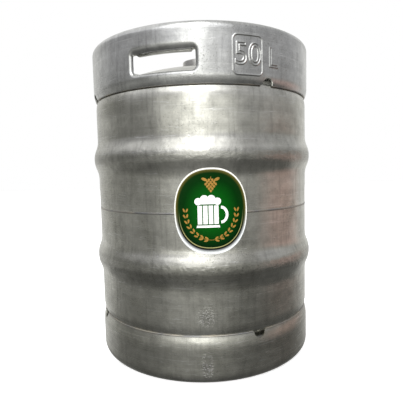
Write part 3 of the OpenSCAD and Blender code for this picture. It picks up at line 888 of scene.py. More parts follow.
def outer_bead(name, ring_r, z, drains):
    # It is laid in four lengths in the corner between the sheet's edge and the knuckle, clear of the drains
    bead = bmesh.new()
    for start, stop in zip(drains, drains[1:] + [drains[0] + 360]):
        disc = bmesh.ops.create_circle(bead, cap_ends=True, segments=10, radius=OUTER_BEAD_R)["verts"]
        bmesh.ops.rotate(bead, verts=disc, cent=(0, 0, 0), matrix=Matrix.Rotation(pi / 2, 3, "X"))
        bmesh.ops.translate(bead, verts=disc, vec=(ring_r, 0, z))
        turned = Matrix.Rotation(radians(start + BEAD_GAP - 90), 3, "Z")
        bmesh.ops.rotate(bead, verts=disc, cent=(0, 0, 0), matrix=turned)
        section = disc + list({edge for point in disc for edge in point.link_edges}) + disc[0].link_faces[:]
        bmesh.ops.spin(
            bead, geom=section, cent=(0, 0, 0), axis=(0, 0, 1),
            angle=radians(stop - start - 2 * BEAD_GAP), steps=int((stop - start) / 1.5),
        )
    bmesh.ops.recalc_face_normals(bead, faces=bead.faces[:])
    return finish_piece(bead, name, bead_metal, None, "keg")


outer_bead("collar_bead", COLLAR_BEAD_R, COLLAR_EDGE_Z - 0.0001, sorted(COLLAR_DRAINS))
outer_bead("foot_bead", FOOT_BEAD_R, FOOT_EDGE_Z + 0.0003, sorted(FOOT_DRAINS))
for node in ("top_chime_weld", "foot_chime_weld"):
    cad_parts[node].data.materials.clear()
    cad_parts[node].data.materials.append(bead_metal)


# ---- Neck ------------------------------------------------------------------
# A turned stainless neck stands through the dome and is welded round. The spear screws into it.

NECK_R = 0.031
NECK_Z = 0.522
THREAD_R = 0.0255
COUNTERBORE_R = 0.0284
COUNTERBORE_H = 0.005
NECK_LOW_Z = 0.497
BEAD_WAVES = 96
BEAD_WAVE_RISE = 0.00018


def turned_stainless(name, colour, roughness):
    finish = bpy.data.materials.new(name)
    nodes, links = bare_tree(finish)
    place = nodes.new("ShaderNodeTexCoord")
    place.label = "Place on the keg"
    place.location = (-1100, 0)
    turning = nodes.new("NodeFrame")
    turning.label = "Tool marks and tarnish"
    feed = nodes.new("ShaderNodeMapping")
    feed.label = "Stretched round the axis"
    tool = nodes.new("ShaderNodeTexNoise")
    tool.label = "Tool marks"
    tarnish = nodes.new("ShaderNodeTexNoise")
    tarnish.label = "Tarnish"
    shade = nodes.new("ShaderNodeValToRGB")
    shade.label = "Bright to tarnished"
    gloss = nodes.new("ShaderNodeMapRange")
    gloss.label = "Gloss of the marks"
    cut = nodes.new("ShaderNodeBump")
    cut.label = "Tool grooves"
    for node, spot_at in (
        (feed, (-900, 0)), (tool, (-700, 0)), (tarnish, (-700, 260)), (shade, (-450, 260)),
        (gloss, (-450, 0)), (cut, (-200, -200)),
    ):
        node.location, node.parent = spot_at, turning
    shader = nodes.new("ShaderNodeBsdfPrincipled")
    shader.label = "Turned stainless"
    shader.location = (100, 0)
    output = nodes.new("ShaderNodeOutputMaterial")
    output.label = "Surface"
    output.location = (400, 0)
    feed.inputs["Scale"].default_value = (40, 40, 1500)
    tool.inputs["Scale"].default_value = 1
    tool.inputs["Detail"].default_value = 2
    tarnish.inputs["Scale"].default_value = 70
    tarnish.inputs["Detail"].default_value = 5
    shade.color_ramp.elements[0].position = 0.4
    shade.color_ramp.elements[0].color = (*colour, 1)
    shade.color_ramp.elements[1].position = 0.72
    shade.color_ramp.elements[1].color = (*(0.68 * channel for channel in colour), 1)
    gloss.inputs["To Min"].default_value = roughness - 0.06
    gloss.inputs["To Max"].default_value = roughness + 0.08
    cut.inputs["Strength"].default_value = 1
    cut.inputs["Distance"].default_value = 0.00003
    shader.inputs["Metallic"].default_value = 1
    links.new(place.outputs["Object"], feed.inputs["Vector"])
    links.new(feed.outputs["Vector"], tool.inputs["Vector"])
    links.new(place.outputs["Object"], tarnish.inputs["Vector"])
    links.new(tarnish.outputs["Fac"], shade.inputs["Fac"])
    links.new(tool.outputs["Fac"], gloss.inputs["Value"])
    links.new(tool.outputs["Fac"], cut.inputs["Height"])
    links.new(shade.outputs["Color"], shader.inputs["Base Color"])
    links.new(gloss.outputs["Result"], shader.inputs["Roughness"])
    links.new(cut.outputs["Normal"], shader.inputs["Normal"])
    links.new(shader.outputs["BSDF"], output.inputs["Surface"])
    return finish


def turned_ring(corners, edge_break=0.0002, steps=128, angle=2 * pi, start=0.0):
    # A closed outline in the XZ plane, turned about the keg's axis, with its sharp edges broken
    ring = bmesh.new()
    ring.faces.new([ring.verts.new((x, 0, z)) for x, z in corners])
    bmesh.ops.bevel(
        ring, geom=ring.verts[:], offset=edge_break, affect="VERTICES", segments=2, profile=0.5, material=-1
    )
    bmesh.ops.rotate(ring, verts=ring.verts[:], cent=(0, 0, 0), matrix=Matrix.Rotation(start, 3, "Z"))
    whole = angle > 6.28
    if whole:
        bmesh.ops.delete(ring, geom=ring.faces[:], context="FACES_ONLY")
    bmesh.ops.spin(
        ring, geom=ring.verts[:] + ring.edges[:] + ring.faces[:], cent=(0, 0, 0), axis=(0, 0, 1),
        angle=angle, steps=steps, use_merge=whole,
    )
    bmesh.ops.remove_doubles(ring, verts=ring.verts[:], dist=1e-7)
    bmesh.ops.recalc_face_normals(ring, faces=ring.faces[:])
    return ring


neck_steel = turned_stainless("turned_neck_steel", (0.60, 0.59, 0.56), 0.24)
neck = turned_ring(
    [
        (THREAD_R, NECK_LOW_Z), (NECK_R, NECK_LOW_Z), (NECK_R, NECK_Z - 0.001), (NECK_R - 0.001, NECK_Z),
        (COUNTERBORE_R, NECK_Z), (COUNTERBORE_R, NECK_Z - COUNTERBORE_H), (THREAD_R, NECK_Z - COUNTERBORE_H),
    ],
    0.0003,
)
finish_piece(neck, "neck_ring", neck_steel, "neck", "keg", 50)

fillet_z = GIRTH_Z + KNUCKLE_H - crown_drop + sqrt(CROWN_R ** 2 - NECK_R ** 2)
fillet = turned_ring(
    [
        (NECK_R - 0.0004, fillet_z - 0.0006), (NECK_R + 0.004, fillet_z - 0.0006),
        (NECK_R + 0.0024, fillet_z + 0.0009), (NECK_R + 0.001, fillet_z + 0.0023),
        (NECK_R - 0.0004, fillet_z + 0.004),
    ],
    0.0003,
)
for point in fillet.verts:
    point.co += outward(point.co) * BEAD_WAVE_RISE * sin(BEAD_WAVES * atan2(point.co.y, point.co.x))
finish_piece(fillet, "neck_bead", bead_metal, "neck_weld", "keg", 60)


# ---- Spear -----------------------------------------------------------------
# The extractor spear: a turned valve body with a bayonet rim, an outside thread and a windowed skirt.
# Inside it a steel spring holds the rubber seal up against its seat, and a ball closes the beer way.

SKIRT_R = 0.0235
SKIRT_IN_R = 0.0215
CORE_R = 0.02462
CREST_R = 0.02542
THREAD_PITCH = 0.0254 / 14
FLANGE_Z = NECK_Z - 0.0028
SEAT_Z = 0.500
WINDOW = (0.472, 0.490)
WINDOW_HALF = 0.0065
SKIRT_FOOT_Z = 0.463
SEAT_R = 0.0155
RIM_OUT_R = 0.028
THROAT_R = 0.023
BAYONET_GAP = 42
THREAD_TURNS = 8.6
THREAD_FOOT_Z = 0.5015


def join_into(target, part):
    loose = bpy.data.meshes.new("loose")
    part.to_mesh(loose)
    part.free()
    target.from_mesh(loose)
    bpy.data.meshes.remove(loose)


spear_steel = turned_stainless("turned_spear_steel", (0.68, 0.67, 0.64), 0.17)
spring_wire = turned_stainless("spring_wire", (0.60, 0.60, 0.60), 0.2)
ball_steel = turned_stainless("ball_steel", (0.78, 0.78, 0.78), 0.1)

spear = turned_ring(
    [
        (SEAT_R, SEAT_Z), (SKIRT_IN_R, SEAT_Z), (SKIRT_IN_R, WINDOW[1]), (SKIRT_R, WINDOW[1]),
        (SKIRT_R, SEAT_Z), (CORE_R, SEAT_Z + 0.001), (CORE_R, FLANGE_Z), (RIM_OUT_R, FLANGE_Z),
        (RIM_OUT_R, NECK_Z), (THROAT_R, NECK_Z), (THROAT_R, SEAT_Z + 0.005), (SEAT_R, SEAT_Z + 0.004),
    ]
)
join_into(spear, turned_ring(
    [(SKIRT_IN_R, SKIRT_FOOT_Z), (SKIRT_R, SKIRT_FOOT_Z), (SKIRT_R, WINDOW[0]), (SKIRT_IN_R, WINDOW[0])]
))
column_turn = pi / 2 - 2 * asin(WINDOW_HALF / SKIRT_R)
for quarter in range(4):
    join_into(spear, turned_ring(
        [(SKIRT_IN_R, WINDOW[0]), (SKIRT_R, WINDOW[0]), (SKIRT_R, WINDOW[1]), (SKIRT_IN_R, WINDOW[1])],
        0.0001, 20, column_turn, quarter * pi / 2 - column_turn / 2,
    ))
lip_turn = pi - radians(BAYONET_GAP)
for side in (1, -1):
    join_into(spear, turned_ring(
        [(0.0231, 0.5160), (0.0195, 0.5168), (0.0195, 0.5212), (0.0203, NECK_Z), (0.0231, NECK_Z)],
        0.0002, 56, lip_turn, side * pi / 2 - lip_turn / 2,
    ))
finish_piece(spear, "spear_body", spear_steel, "spear_housing", "spear", 50)

# Fourteen threads to the inch, cut on the valve body's core
thread = bmesh.new()
ridge = [thread.verts.new((x, 0, THREAD_FOOT_Z + share * THREAD_PITCH)) for x, share in (
    (CORE_R - 0.0002, 0), (CREST_R, 0.42), (CREST_R, 0.56), (CORE_R - 0.0002, 0.98),
)]
bmesh.ops.contextual_create(thread, geom=ridge)
thread_steps = int(THREAD_TURNS * 64)
bmesh.ops.spin(
    thread, geom=thread.verts[:] + thread.edges[:] + thread.faces[:], cent=(0, 0, 0), axis=(0, 0, 1),
    dvec=(0, 0, THREAD_PITCH * THREAD_TURNS / thread_steps), angle=2 * pi * THREAD_TURNS,
    steps=thread_steps,
)
bmesh.ops.recalc_face_normals(thread, faces=thread.faces[:])
finish_piece(thread, "spear_thread", spear_steel, None, "spear", 30)


def wound_spring(name, node, coil_r, wire_r, low, high, turns, body):
    # Round wire wound on a mandrel, with three quarters of a turn closed flat at each end
    spring = bmesh.new()
    bmesh.ops.create_circle(spring, cap_ends=True, segments=12, radius=wire_r)
    bmesh.ops.rotate(spring, verts=spring.verts[:], cent=(0, 0, 0), matrix=Matrix.Rotation(pi / 2, 3, "X"))
    bmesh.ops.translate(spring, verts=spring.verts[:], vec=(coil_r, 0, low + wire_r))
    section = spring.verts[:] + spring.edges[:] + spring.faces[:]
    open_turns = turns - 1.5
    rise = high - low - 2 * wire_r
    for length, climb in ((0.75, 0), (open_turns, rise), (0.75, 0)):
        steps = round(length * 36)
        wound = bmesh.ops.spin(
            spring, geom=section, cent=(0, 0, 0), axis=(0, 0, 1), dvec=(0, 0, climb / steps),
            angle=2 * pi * length, steps=steps,
        )
        section = wound["geom_last"]
    bmesh.ops.remove_doubles(spring, verts=spring.verts[:], dist=1e-7)
    bmesh.ops.recalc_face_normals(spring, faces=spring.faces[:])
    return finish_piece(spring, name, spring_wire, node, body, 60)


valve_low, valve_high = (corner[2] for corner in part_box("valve_spring"))
gas_spring = wound_spring("gas_spring", "valve_spring", 0.0175, 0.0011, valve_low, valve_high, 6.5, "spear")
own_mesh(gas_spring)
ball_low, ball_high = (corner[2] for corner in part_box("ball_spring"))
under_ball = wound_spring(
    "under_ball_spring", "ball_spring", 0.0064, 0.0005, ball_low, ball_high, 6.5, "valve_stem"
)
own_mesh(under_ball)


def seal_rubber(name):
    finish = bpy.data.materials.new(name)
    nodes, links = bare_tree(finish)
    place = nodes.new("ShaderNodeTexCoord")
    place.label = "Place on the keg"
    place.location = (-900, 0)
    skin = nodes.new("NodeFrame")
    skin.label = "Moulded skin"
    bloom = nodes.new("ShaderNodeTexNoise")
    bloom.label = "Pale bloom"
    shade = nodes.new("ShaderNodeValToRGB")
    shade.label = "Black to bloomed"
    pore = nodes.new("ShaderNodeTexNoise")
    pore.label = "Fine pores"
    pored = nodes.new("ShaderNodeBump")
    pored.label = "Pored"
    for node, spot_at in (
        (bloom, (-700, 200)), (shade, (-450, 200)), (pore, (-700, -200)), (pored, (-200, -200)),
    ):
        node.location, node.parent = spot_at, skin
    shader = nodes.new("ShaderNodeBsdfPrincipled")
    shader.label = "Black rubber"
    shader.location = (100, 0)
    output = nodes.new("ShaderNodeOutputMaterial")
    output.label = "Surface"
    output.location = (400, 0)
    bloom.inputs["Scale"].default_value = 120
    bloom.inputs["Detail"].default_value = 4
    shade.color_ramp.elements[0].position = 0.4
    shade.color_ramp.elements[0].color = (0.012, 0.012, 0.012, 1)
    shade.color_ramp.elements[1].position = 0.75
    shade.color_ramp.elements[1].color = (0.05, 0.05, 0.048, 1)
    pore.inputs["Scale"].default_value = 1400
    pored.inputs["Strength"].default_value = 1
    pored.inputs["Distance"].default_value = 0.00006
    shader.inputs["Roughness"].default_value = 0.55
    links.new(place.outputs["Object"], bloom.inputs["Vector"])
    links.new(place.outputs["Object"], pore.inputs["Vector"])
    links.new(bloom.outputs["Fac"], shade.inputs["Fac"])
    links.new(pore.outputs["Fac"], pored.inputs["Height"])
    links.new(shade.outputs["Color"], shader.inputs["Base Color"])
    links.new(pored.outputs["Normal"], shader.inputs["Normal"])
    links.new(shader.outputs["BSDF"], output.inputs["Surface"])
    return finish


rubber = seal_rubber("seal_rubber")
seal = turned_ring(
    [
        (0.0072, 0.496), (0.0186, 0.496), (0.0186, 0.499), (0.0178, 0.49995),
        (0.012, 0.49995), (0.009, 0.4988), (0.0072, 0.4984),
    ],
    0.0003, 96,
)
finish_piece(seal, "moulded_seal", rubber, "valve_seal", "valve_stem", 60)

o_ring = bmesh.new()
bmesh.ops.create_circle(o_ring, segments=24, radius=0.00105)
bmesh.ops.rotate(o_ring, verts=o_ring.verts[:], cent=(0, 0, 0), matrix=Matrix.Rotation(pi / 2, 3, "X"))
bmesh.ops.translate(o_ring, verts=o_ring.verts[:], vec=(0.027, 0, 0.5181))
turn_full(o_ring, 128)
finish_piece(o_ring, "neck_o_ring", rubber, "neck_seal", "spear_carrier", 60)

ball_middle = [sum(pair) / 2 for pair in zip(*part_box("beer_ball"))]
ball = bmesh.new()
bmesh.ops.create_icosphere(ball, subdivisions=5, radius=0.008)
bmesh.ops.translate(ball, verts=ball.verts[:], vec=(0, 0, ball_middle[2]))
finish_piece(ball, "steel_ball", ball_steel, "beer_ball", "ball", 60)

for node in ("spring_cage", "stem_head", "down_tube", "seal_washer"):
    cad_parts[node].data.materials.clear()
    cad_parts[node].data.materials.append(spear_steel)


# ---- Label -----------------------------------------------------------------
# A thin oval plastic label bonded to the wall, printed green with a gold line inside a white border, with
# painted shadow across the lower border.
# The motifs are thick screen print: a mug of beer in white, with barley and a hop cone in gold.

LABEL_MIDDLE = 0.2632
LABEL_HALF = (0.0537, 0.0628)
LABEL_POWER = 2.3
LABEL_LIFT = 0.00040
PRINT_LIFT = 0.00044
PRINT_HALF = (0.0490, 0.0565)
PRINT_SPREAD = 0.925
LABEL_SHEET = 0.00025
INK_THICK = 0.00006


def lay_on_wall(flat, lift):
    for point in flat.verts:
        climb = max(0.0, abs(point.co.y - GIRTH_Z) - (HOOP_H - HOOP_HALF))
        wall = WALL_R + hoop_curve - sqrt(hoop_curve ** 2 - climb ** 2)
        az = point.co.x / WALL_R
        radius = wall + lift + point.co.z
        point.co = Vector((radius * sin(az), -radius * cos(az), point.co.y))
    bmesh.ops.recalc_face_normals(flat, faces=flat.faces[:])
    if flat.faces[0].normal.y > 0:
        bmesh.ops.reverse_faces(flat, faces=flat.faces[:])


def label_print(name):
    finish = bpy.data.materials.new(name)
    nodes, links = bare_tree(finish)
    place = nodes.new("ShaderNodeTexCoord")
    place.label = "Place on the keg"
    place.location = (-1900, 0)
    split = nodes.new("ShaderNodeSeparateXYZ")
    split.label = "Across and up"
    split.location = (-1700, 0)
    oval = nodes.new("NodeFrame")
    oval.label = "Distance across the oval"
    front = nodes.new("ShaderNodeMath")
    front.label = "Towards the front"
    turn = nodes.new("ShaderNodeMath")
    turn.label = "Angle round the keg"
    across = nodes.new("ShaderNodeMath")
    across.label = "Share of the half width"
    across_size = nodes.new("ShaderNodeMath")
    across_size.label = "Left or right"
    across_power = nodes.new("ShaderNodeMath")
    across_power.label = "Squared off across"
    above = nodes.new("ShaderNodeMath")
    above.label = "Height from the middle"
    up = nodes.new("ShaderNodeMath")
    up.label = "Share of the half height"
    up_size = nodes.new("ShaderNodeMath")
    up_size.label = "Up or down"
    up_power = nodes.new("ShaderNodeMath")
    up_power.label = "Squared off up"
    total = nodes.new("ShaderNodeMath")
    total.label = "Both"
    reach = nodes.new("ShaderNodeMath")
    reach.label = "Share of the oval"
    size = nodes.new("ShaderNodeMath")
    size.label = "Green field and border"
    for node, spot_at in (
        (front, (-1500, -150)), (turn, (-1350, 0)), (across, (-1200, 0)), (across_size, (-1050, 0)),
        (across_power, (-900, 0)), (above, (-1350, -250)), (up, (-1200, -250)), (up_size, (-1050, -250)),
        (up_power, (-900, -250)), (total, (-750, -100)), (reach, (-600, -100)), (size, (-500, -100)),
    ):
        node.location, node.parent = spot_at, oval
    inks = nodes.new("ShaderNodeValToRGB")
    inks.label = "Green, olive edge, white border"
    # The lower half's inks carry a painted shadow under the green field: dark at its edge, grey across the
    # white border
    inks_with_painted_shadow = nodes.new("ShaderNodeValToRGB")
    inks_with_painted_shadow.label = "Green, gold line, painted shadow"
    shadowed_lower_half = nodes.new("ShaderNodeMapRange")
    shadowed_lower_half.label = "Lower half"
    both = nodes.new("ShaderNodeMix")
    both.label = "Top printing, bottom with painted shadow"
    fade = nodes.new("ShaderNodeTexNoise")
    fade.label = "Faded ink"
    fade_depth = nodes.new("ShaderNodeMapRange")
    fade_depth.label = "Depth of the fading"
    inked = nodes.new("ShaderNodeMix")
    inked.label = "Printed and faded"
    scuffs = nodes.new("ShaderNodeTexNoise")
    scuffs.label = "Fine scuffs"
    scuff_gloss = nodes.new("ShaderNodeMapRange")
    scuff_gloss.label = "Scuffs are duller"
    shader = nodes.new("ShaderNodeBsdfPrincipled")
    shader.label = "Printed plastic"
    shader.location = (200, 0)
    output = nodes.new("ShaderNodeOutputMaterial")
    output.label = "Surface"
    output.location = (500, 0)
    printing = nodes.new("NodeFrame")
    printing.label = "Inks from the middle to the edge, painted shadow below"
    for node, spot_at in (
        (inks, (-400, 0)), (inks_with_painted_shadow, (-400, -180)), (shadowed_lower_half, (-600, -300)), (both, (-250, 0)),
    ):
        node.location, node.parent = spot_at, printing
    wearing = nodes.new("NodeFrame")
    wearing.label = "Fading and scuffs"
    for node, spot_at in (
        (fade, (-600, 300)), (fade_depth, (-400, 300)), (inked, (-100, 100)), (scuffs, (-400, -350)),
        (scuff_gloss, (-100, -350)),
    ):
        node.location, node.parent = spot_at, wearing
    front.operation = "MULTIPLY"
    front.inputs[1].default_value = -1
    turn.operation = "ARCTAN2"
    across.operation = "MULTIPLY"
    across.inputs[1].default_value = WALL_R / PRINT_HALF[0]
    across_size.operation = "ABSOLUTE"
    across_power.operation = "POWER"
    across_power.inputs[1].default_value = LABEL_POWER
    above.operation = "SUBTRACT"
    above.inputs[1].default_value = LABEL_MIDDLE + 0.0006
    up.operation = "MULTIPLY"
    up.inputs[1].default_value = 1 / PRINT_HALF[1]
    up_size.operation = "ABSOLUTE"
    up_power.operation = "POWER"
    up_power.inputs[1].default_value = LABEL_POWER
    total.operation = "ADD"
    reach.operation = "POWER"
    reach.inputs[1].default_value = 1 / LABEL_POWER
    green = ((0.0, (0.0, 0.088, 0.002)), (0.45, (0.0, 0.056, 0.002)), (0.75, (0.0, 0.022, 0.001)))
    for ramp, stops in (
        (inks, green + (
            (0.90, (0.002, 0.020, 0.002)), (0.95, (0.06, 0.055, 0.01)), (0.975, (0.10, 0.085, 0.02)),
            (0.99, (0.74, 0.73, 0.68)),
        )),
        (inks_with_painted_shadow, green + (
            (0.875, (0.0, 0.010, 0.001)), (0.882, (0.32, 0.30, 0.12)), (0.892, (0.32, 0.30, 0.12)),
            (0.900, (0.003, 0.006, 0.002)), (0.93, (0.004, 0.005, 0.004)), (0.965, (0.25, 0.26, 0.26)),
            (1.0, (0.62, 0.64, 0.64)),
        )),
    ):
        ramp.color_ramp.elements[0].color = (*stops[0][1], 1)
        ramp.color_ramp.elements[1].position = stops[-1][0]
        ramp.color_ramp.elements[1].color = (*stops[-1][1], 1)
        for position, colour in stops[1:-1]:
            ramp.color_ramp.elements.new(position).color = (*colour, 1)
    size.operation = "MULTIPLY"
    size.inputs[1].default_value = PRINT_SPREAD
    shadowed_lower_half.interpolation_type = "SMOOTHSTEP"
    shadowed_lower_half.inputs["From Min"].default_value = 0.1
    shadowed_lower_half.inputs["From Max"].default_value = -0.7
    both.data_type = "RGBA"
    fade.inputs["Scale"].default_value = 90
    fade.inputs["Detail"].default_value = 5
    fade_depth.inputs["To Min"].default_value = 0.9
    fade_depth.inputs["To Max"].default_value = 1.06
    inked.data_type = "RGBA"
    inked.blend_type = "MULTIPLY"
    inked.inputs["Factor"].default_value = 1
    scuffs.inputs["Scale"].default_value = 300
    scuffs.inputs["Detail"].default_value = 4
    scuff_gloss.inputs["To Min"].default_value = 0.25
    scuff_gloss.inputs["To Max"].default_value = 0.5
    shader.inputs["Specular IOR Level"].default_value = 0.05
    links.new(place.outputs["Object"], split.inputs["Vector"])
    links.new(split.outputs["Y"], front.inputs[0])
    links.new(split.outputs["X"], turn.inputs[0])
    links.new(front.outputs[0], turn.inputs[1])
    links.new(turn.outputs[0], across.inputs[0])
    links.new(across.outputs[0], across_size.inputs[0])
    links.new(across_size.outputs[0], across_power.inputs[0])
    links.new(split.outputs["Z"], above.inputs[0])
    links.new(above.outputs[0], up.inputs[0])
    links.new(up.outputs[0], up_size.inputs[0])
    links.new(up_size.outputs[0], up_power.inputs[0])
    links.new(across_power.outputs[0], total.inputs[0])
    links.new(up_power.outputs[0], total.inputs[1])
    links.new(total.outputs[0], reach.inputs[0])
    links.new(reach.outputs[0], size.inputs[0])
    links.new(size.outputs[0], inks.inputs["Fac"])
    links.new(size.outputs[0], inks_with_painted_shadow.inputs["Fac"])
    links.new(up.outputs[0], shadowed_lower_half.inputs["Value"])
    links.new(shadowed_lower_half.outputs["Result"], both.inputs["Factor"])
    links.new(inks.outputs["Color"], both.inputs["A"])
    links.new(inks_with_painted_shadow.outputs["Color"], both.inputs["B"])
    links.new(place.outputs["Object"], fade.inputs["Vector"])
    links.new(place.outputs["Object"], scuffs.inputs["Vector"])
    links.new(fade.outputs["Fac"], fade_depth.inputs["Value"])
    links.new(both.outputs["Result"], inked.inputs["A"])
    links.new(fade_depth.outputs["Result"], inked.inputs["B"])
    links.new(scuffs.outputs["Fac"], scuff_gloss.inputs["Value"])
    links.new(inked.outputs["Result"], shader.inputs["Base Color"])
    links.new(scuff_gloss.outputs["Result"], shader.inputs["Roughness"])
    links.new(shader.outputs["BSDF"], output.inputs["Surface"])
    return finish


def print_ink(name, colour, roughness, metallic):
    finish = bpy.data.materials.new(name)
    nodes, links = bare_tree(finish)
    place = nodes.new("ShaderNodeTexCoord")
    place.label = "Place on the keg"
    place.location = (-900, 0)
    coat = nodes.new("NodeFrame")
    coat.label = "Uneven ink"
    cover = nodes.new("ShaderNodeTexNoise")
    cover.label = "Ink cover"
    shade = nodes.new("ShaderNodeValToRGB")
    shade.label = "Thick to thin ink"
    for node, spot_at in (
        (cover, (-700, 100)), (shade, (-450, 100)),
    ):
        node.location, node.parent = spot_at, coat
    shader = nodes.new("ShaderNodeBsdfPrincipled")
    shader.label = "Screen ink"
    shader.location = (-100, 0)
    output = nodes.new("ShaderNodeOutputMaterial")
    output.label = "Surface"
    output.location = (200, 0)
    cover.inputs["Scale"].default_value = 260
    cover.inputs["Detail"].default_value = 4
    shade.color_ramp.elements[0].position = 0.35
    shade.color_ramp.elements[0].color = (*colour, 1)
    shade.color_ramp.elements[1].position = 0.75
    shade.color_ramp.elements[1].color = (*(0.8 * channel for channel in colour), 1)
    shader.inputs["Roughness"].default_value = roughness
    shader.inputs["Metallic"].default_value = metallic
    links.new(place.outputs["Object"], cover.inputs["Vector"])
    links.new(cover.outputs["Fac"], shade.inputs["Fac"])
    links.new(shade.outputs["Color"], shader.inputs["Base Color"])
    links.new(shader.outputs["BSDF"], output.inputs["Surface"])
    return finish


def oval_share(co):
    return sum(abs(co[i] / LABEL_HALF[i]) ** LABEL_POWER for i in (0, 1)) ** (1 / LABEL_POWER)


label = bmesh.new()
bmesh.ops.create_grid(label, x_segments=56, y_segments=66, size=0.5)
bmesh.ops.scale(label, verts=label.verts[:], vec=(2.02 * LABEL_HALF[0], 2.02 * LABEL_HALF[1], 1))
outside = [face for face in label.faces if oval_share(face.calc_center_median()) > 1]
bmesh.ops.delete(label, geom=outside, context="FACES")
for point in label.verts:
    if point.is_boundary:
        share = oval_share(point.co)
        point.co = Vector((point.co.x / share, point.co.y / share, 0))
bmesh.ops.translate(label, verts=label.verts[:], vec=(0, LABEL_MIDDLE, 0))
lay_on_wall(label, LABEL_LIFT)
bmesh.ops.solidify(label, geom=label.faces[:], thickness=LABEL_SHEET)
finish_piece(label, "oval_label", label_print("label_print"), "label", "keg", 60)

white_ink = print_ink("white_ink", (0.80, 0.80, 0.78), 0.4, 0)
gold_ink = print_ink("gold_ink", (0.34, 0.17, 0.02), 0.4, 0.2)


def stamp(motif, outline):
    # Adds one flat closed outline to a motif
    motif.faces.new([motif.verts.new((x, y, 0)) for x, y in outline])


def oval_stamp(motif, x, y, wide, high, lean=0.0, points=20):
    laid = Matrix.Translation((x, y, 0)) @ Matrix.Rotation(radians(lean), 4, "Z")
    laid = laid @ Matrix.Diagonal((wide, high, 1, 1))
    bmesh.ops.create_circle(motif, cap_ends=True, segments=points, radius=0.5, matrix=laid)


def print_motif(motif, name, ink, lift):
    # A motif is cut into 3 mm strips, so that it bends smoothly round the wall
    for cut in range(-15, 16):
        bmesh.ops.bisect_plane(
            motif, geom=motif.verts[:] + motif.edges[:] + motif.faces[:], dist=1e-7,
            plane_co=(cut * 0.003, 0, 0), plane_no=(1, 0, 0),
        )
    bmesh.ops.translate(motif, verts=motif.verts[:], vec=(0, LABEL_MIDDLE, 0))
    lay_on_wall(motif, lift)
    bmesh.ops.solidify(motif, geom=motif.faces[:], thickness=INK_THICK)
    finish_piece(motif, name, ink, None, "keg", 60)


# The mug: a glass with four green gaps between its white panels, a handle and a head of foam
mug = bmesh.new()
for left in (-0.0175, -0.0095, -0.0015, 0.0065):
    stamp(mug, [
        (left, -0.0205), (left + 0.0064, -0.0205), (left + 0.0064, 0.0065), (left, 0.0065),
    ])
stamp(mug, [(-0.0195, -0.0255), (0.0149, -0.0255), (0.0139, -0.0222), (-0.0185, -0.0222)])
for x, y, size in (
    (-0.0165, 0.0125, 0.0105), (-0.0075, 0.0155, 0.0125), (0.0025, 0.0155, 0.0125), (0.0115, 0.0125, 0.0105),
):
    oval_stamp(mug, x, y, size, size, 0, 28)
stamp(mug, [(-0.0195, 0.0085), (0.0149, 0.0085), (0.0149, 0.0135), (-0.0195, 0.0135)])
handle_steps = 20
for step in range(handle_steps):
    a, b = (radians(-90 + 180 * (step + k) / handle_steps) for k in (0, 1))
    stamp(mug, [
        (0.0165 + wide * cos(c), -0.0070 + high * sin(c))
        for wide, high, c in (
            (0.0068, 0.0088, a), (0.0108, 0.0128, a), (0.0108, 0.0128, b), (0.0068, 0.0088, b),
        )
    ])
bmesh.ops.translate(mug, verts=mug.verts[:], vec=(-0.0022, 0.0018, 0))
print_motif(mug, "mug_print", white_ink, PRINT_LIFT + INK_THICK)

# Two ears of barley, curving up round the mug from where their stalks cross below it
barley = bmesh.new()
for side in (-1, 1):
    for grain in range(8):
        angle = radians(-78 + 11.5 * grain)
        x, y = 0.0375 * cos(angle), 0.0420 * sin(angle)
        lean = degrees(angle) + 90
        for off, tilt in ((-0.0021, 24), (0.0021, -24)):
            grain_x, grain_y = side * (x + cos(angle) * off), y + sin(angle) * off
            grain_lean = side * (lean + tilt) + (0 if side > 0 else 180)
            oval_stamp(barley, grain_x, grain_y, 0.0062, 0.0027, grain_lean, 12)
    for step in range(10):
        a, b = (radians(-108 + 4.6 * (step + k)) for k in (0, 1))
        stamp(barley, [
            (side * wide * cos(c), high * sin(c))
            for wide, high, c in (
                (0.0372, 0.0417, a), (0.0378, 0.0423, a), (0.0378, 0.0423, b), (0.0372, 0.0417, b),
            )
        ])
print_motif(barley, "barley_print", gold_ink, PRINT_LIFT)

# A hop cone above the mug: rows of overlapping scales, narrowing to a tip
hop = bmesh.new()
for line, count in enumerate((2, 3, 4, 3, 2, 1)):
    for scale in range(count):
        lean = scale - (count - 1) / 2
        x, y = lean * 0.0044, 0.0452 - 0.0031 * line + 0.0004 * abs(lean)
        stamp(hop, [
            (x - 0.0019, y + 0.0012), (x - 0.0016 + 0.0005 * lean, y - 0.0010),
            (x + 0.0009 * lean, y - 0.0025), (x + 0.0016 + 0.0005 * lean, y - 0.0010),
            (x + 0.0019, y + 0.0012), (x, y + 0.0018),
        ])
for side in (-1, 1):
    oval_stamp(hop, side * 0.0090, 0.0462, 0.0088, 0.0042, side * 24, 14)
stamp(hop, [(-0.0005, 0.0468), (0.0005, 0.0468), (0.0009, 0.0500), (-0.0001, 0.0500)])
print_motif(hop, "hop_print", gold_ink, PRINT_LIFT)


# ---- Studio ----------------------------------------------------------------
# A pale floor, soft sky-like light that is bright above and dim below, and a camera a little below the rim.

CAMERA_AT = (-0.04727, -0.75132, 0.3252)
CAMERA_TURN = -3.428
CAMERA_DIP = 4.83
CAMERA_ROLL = -1.361

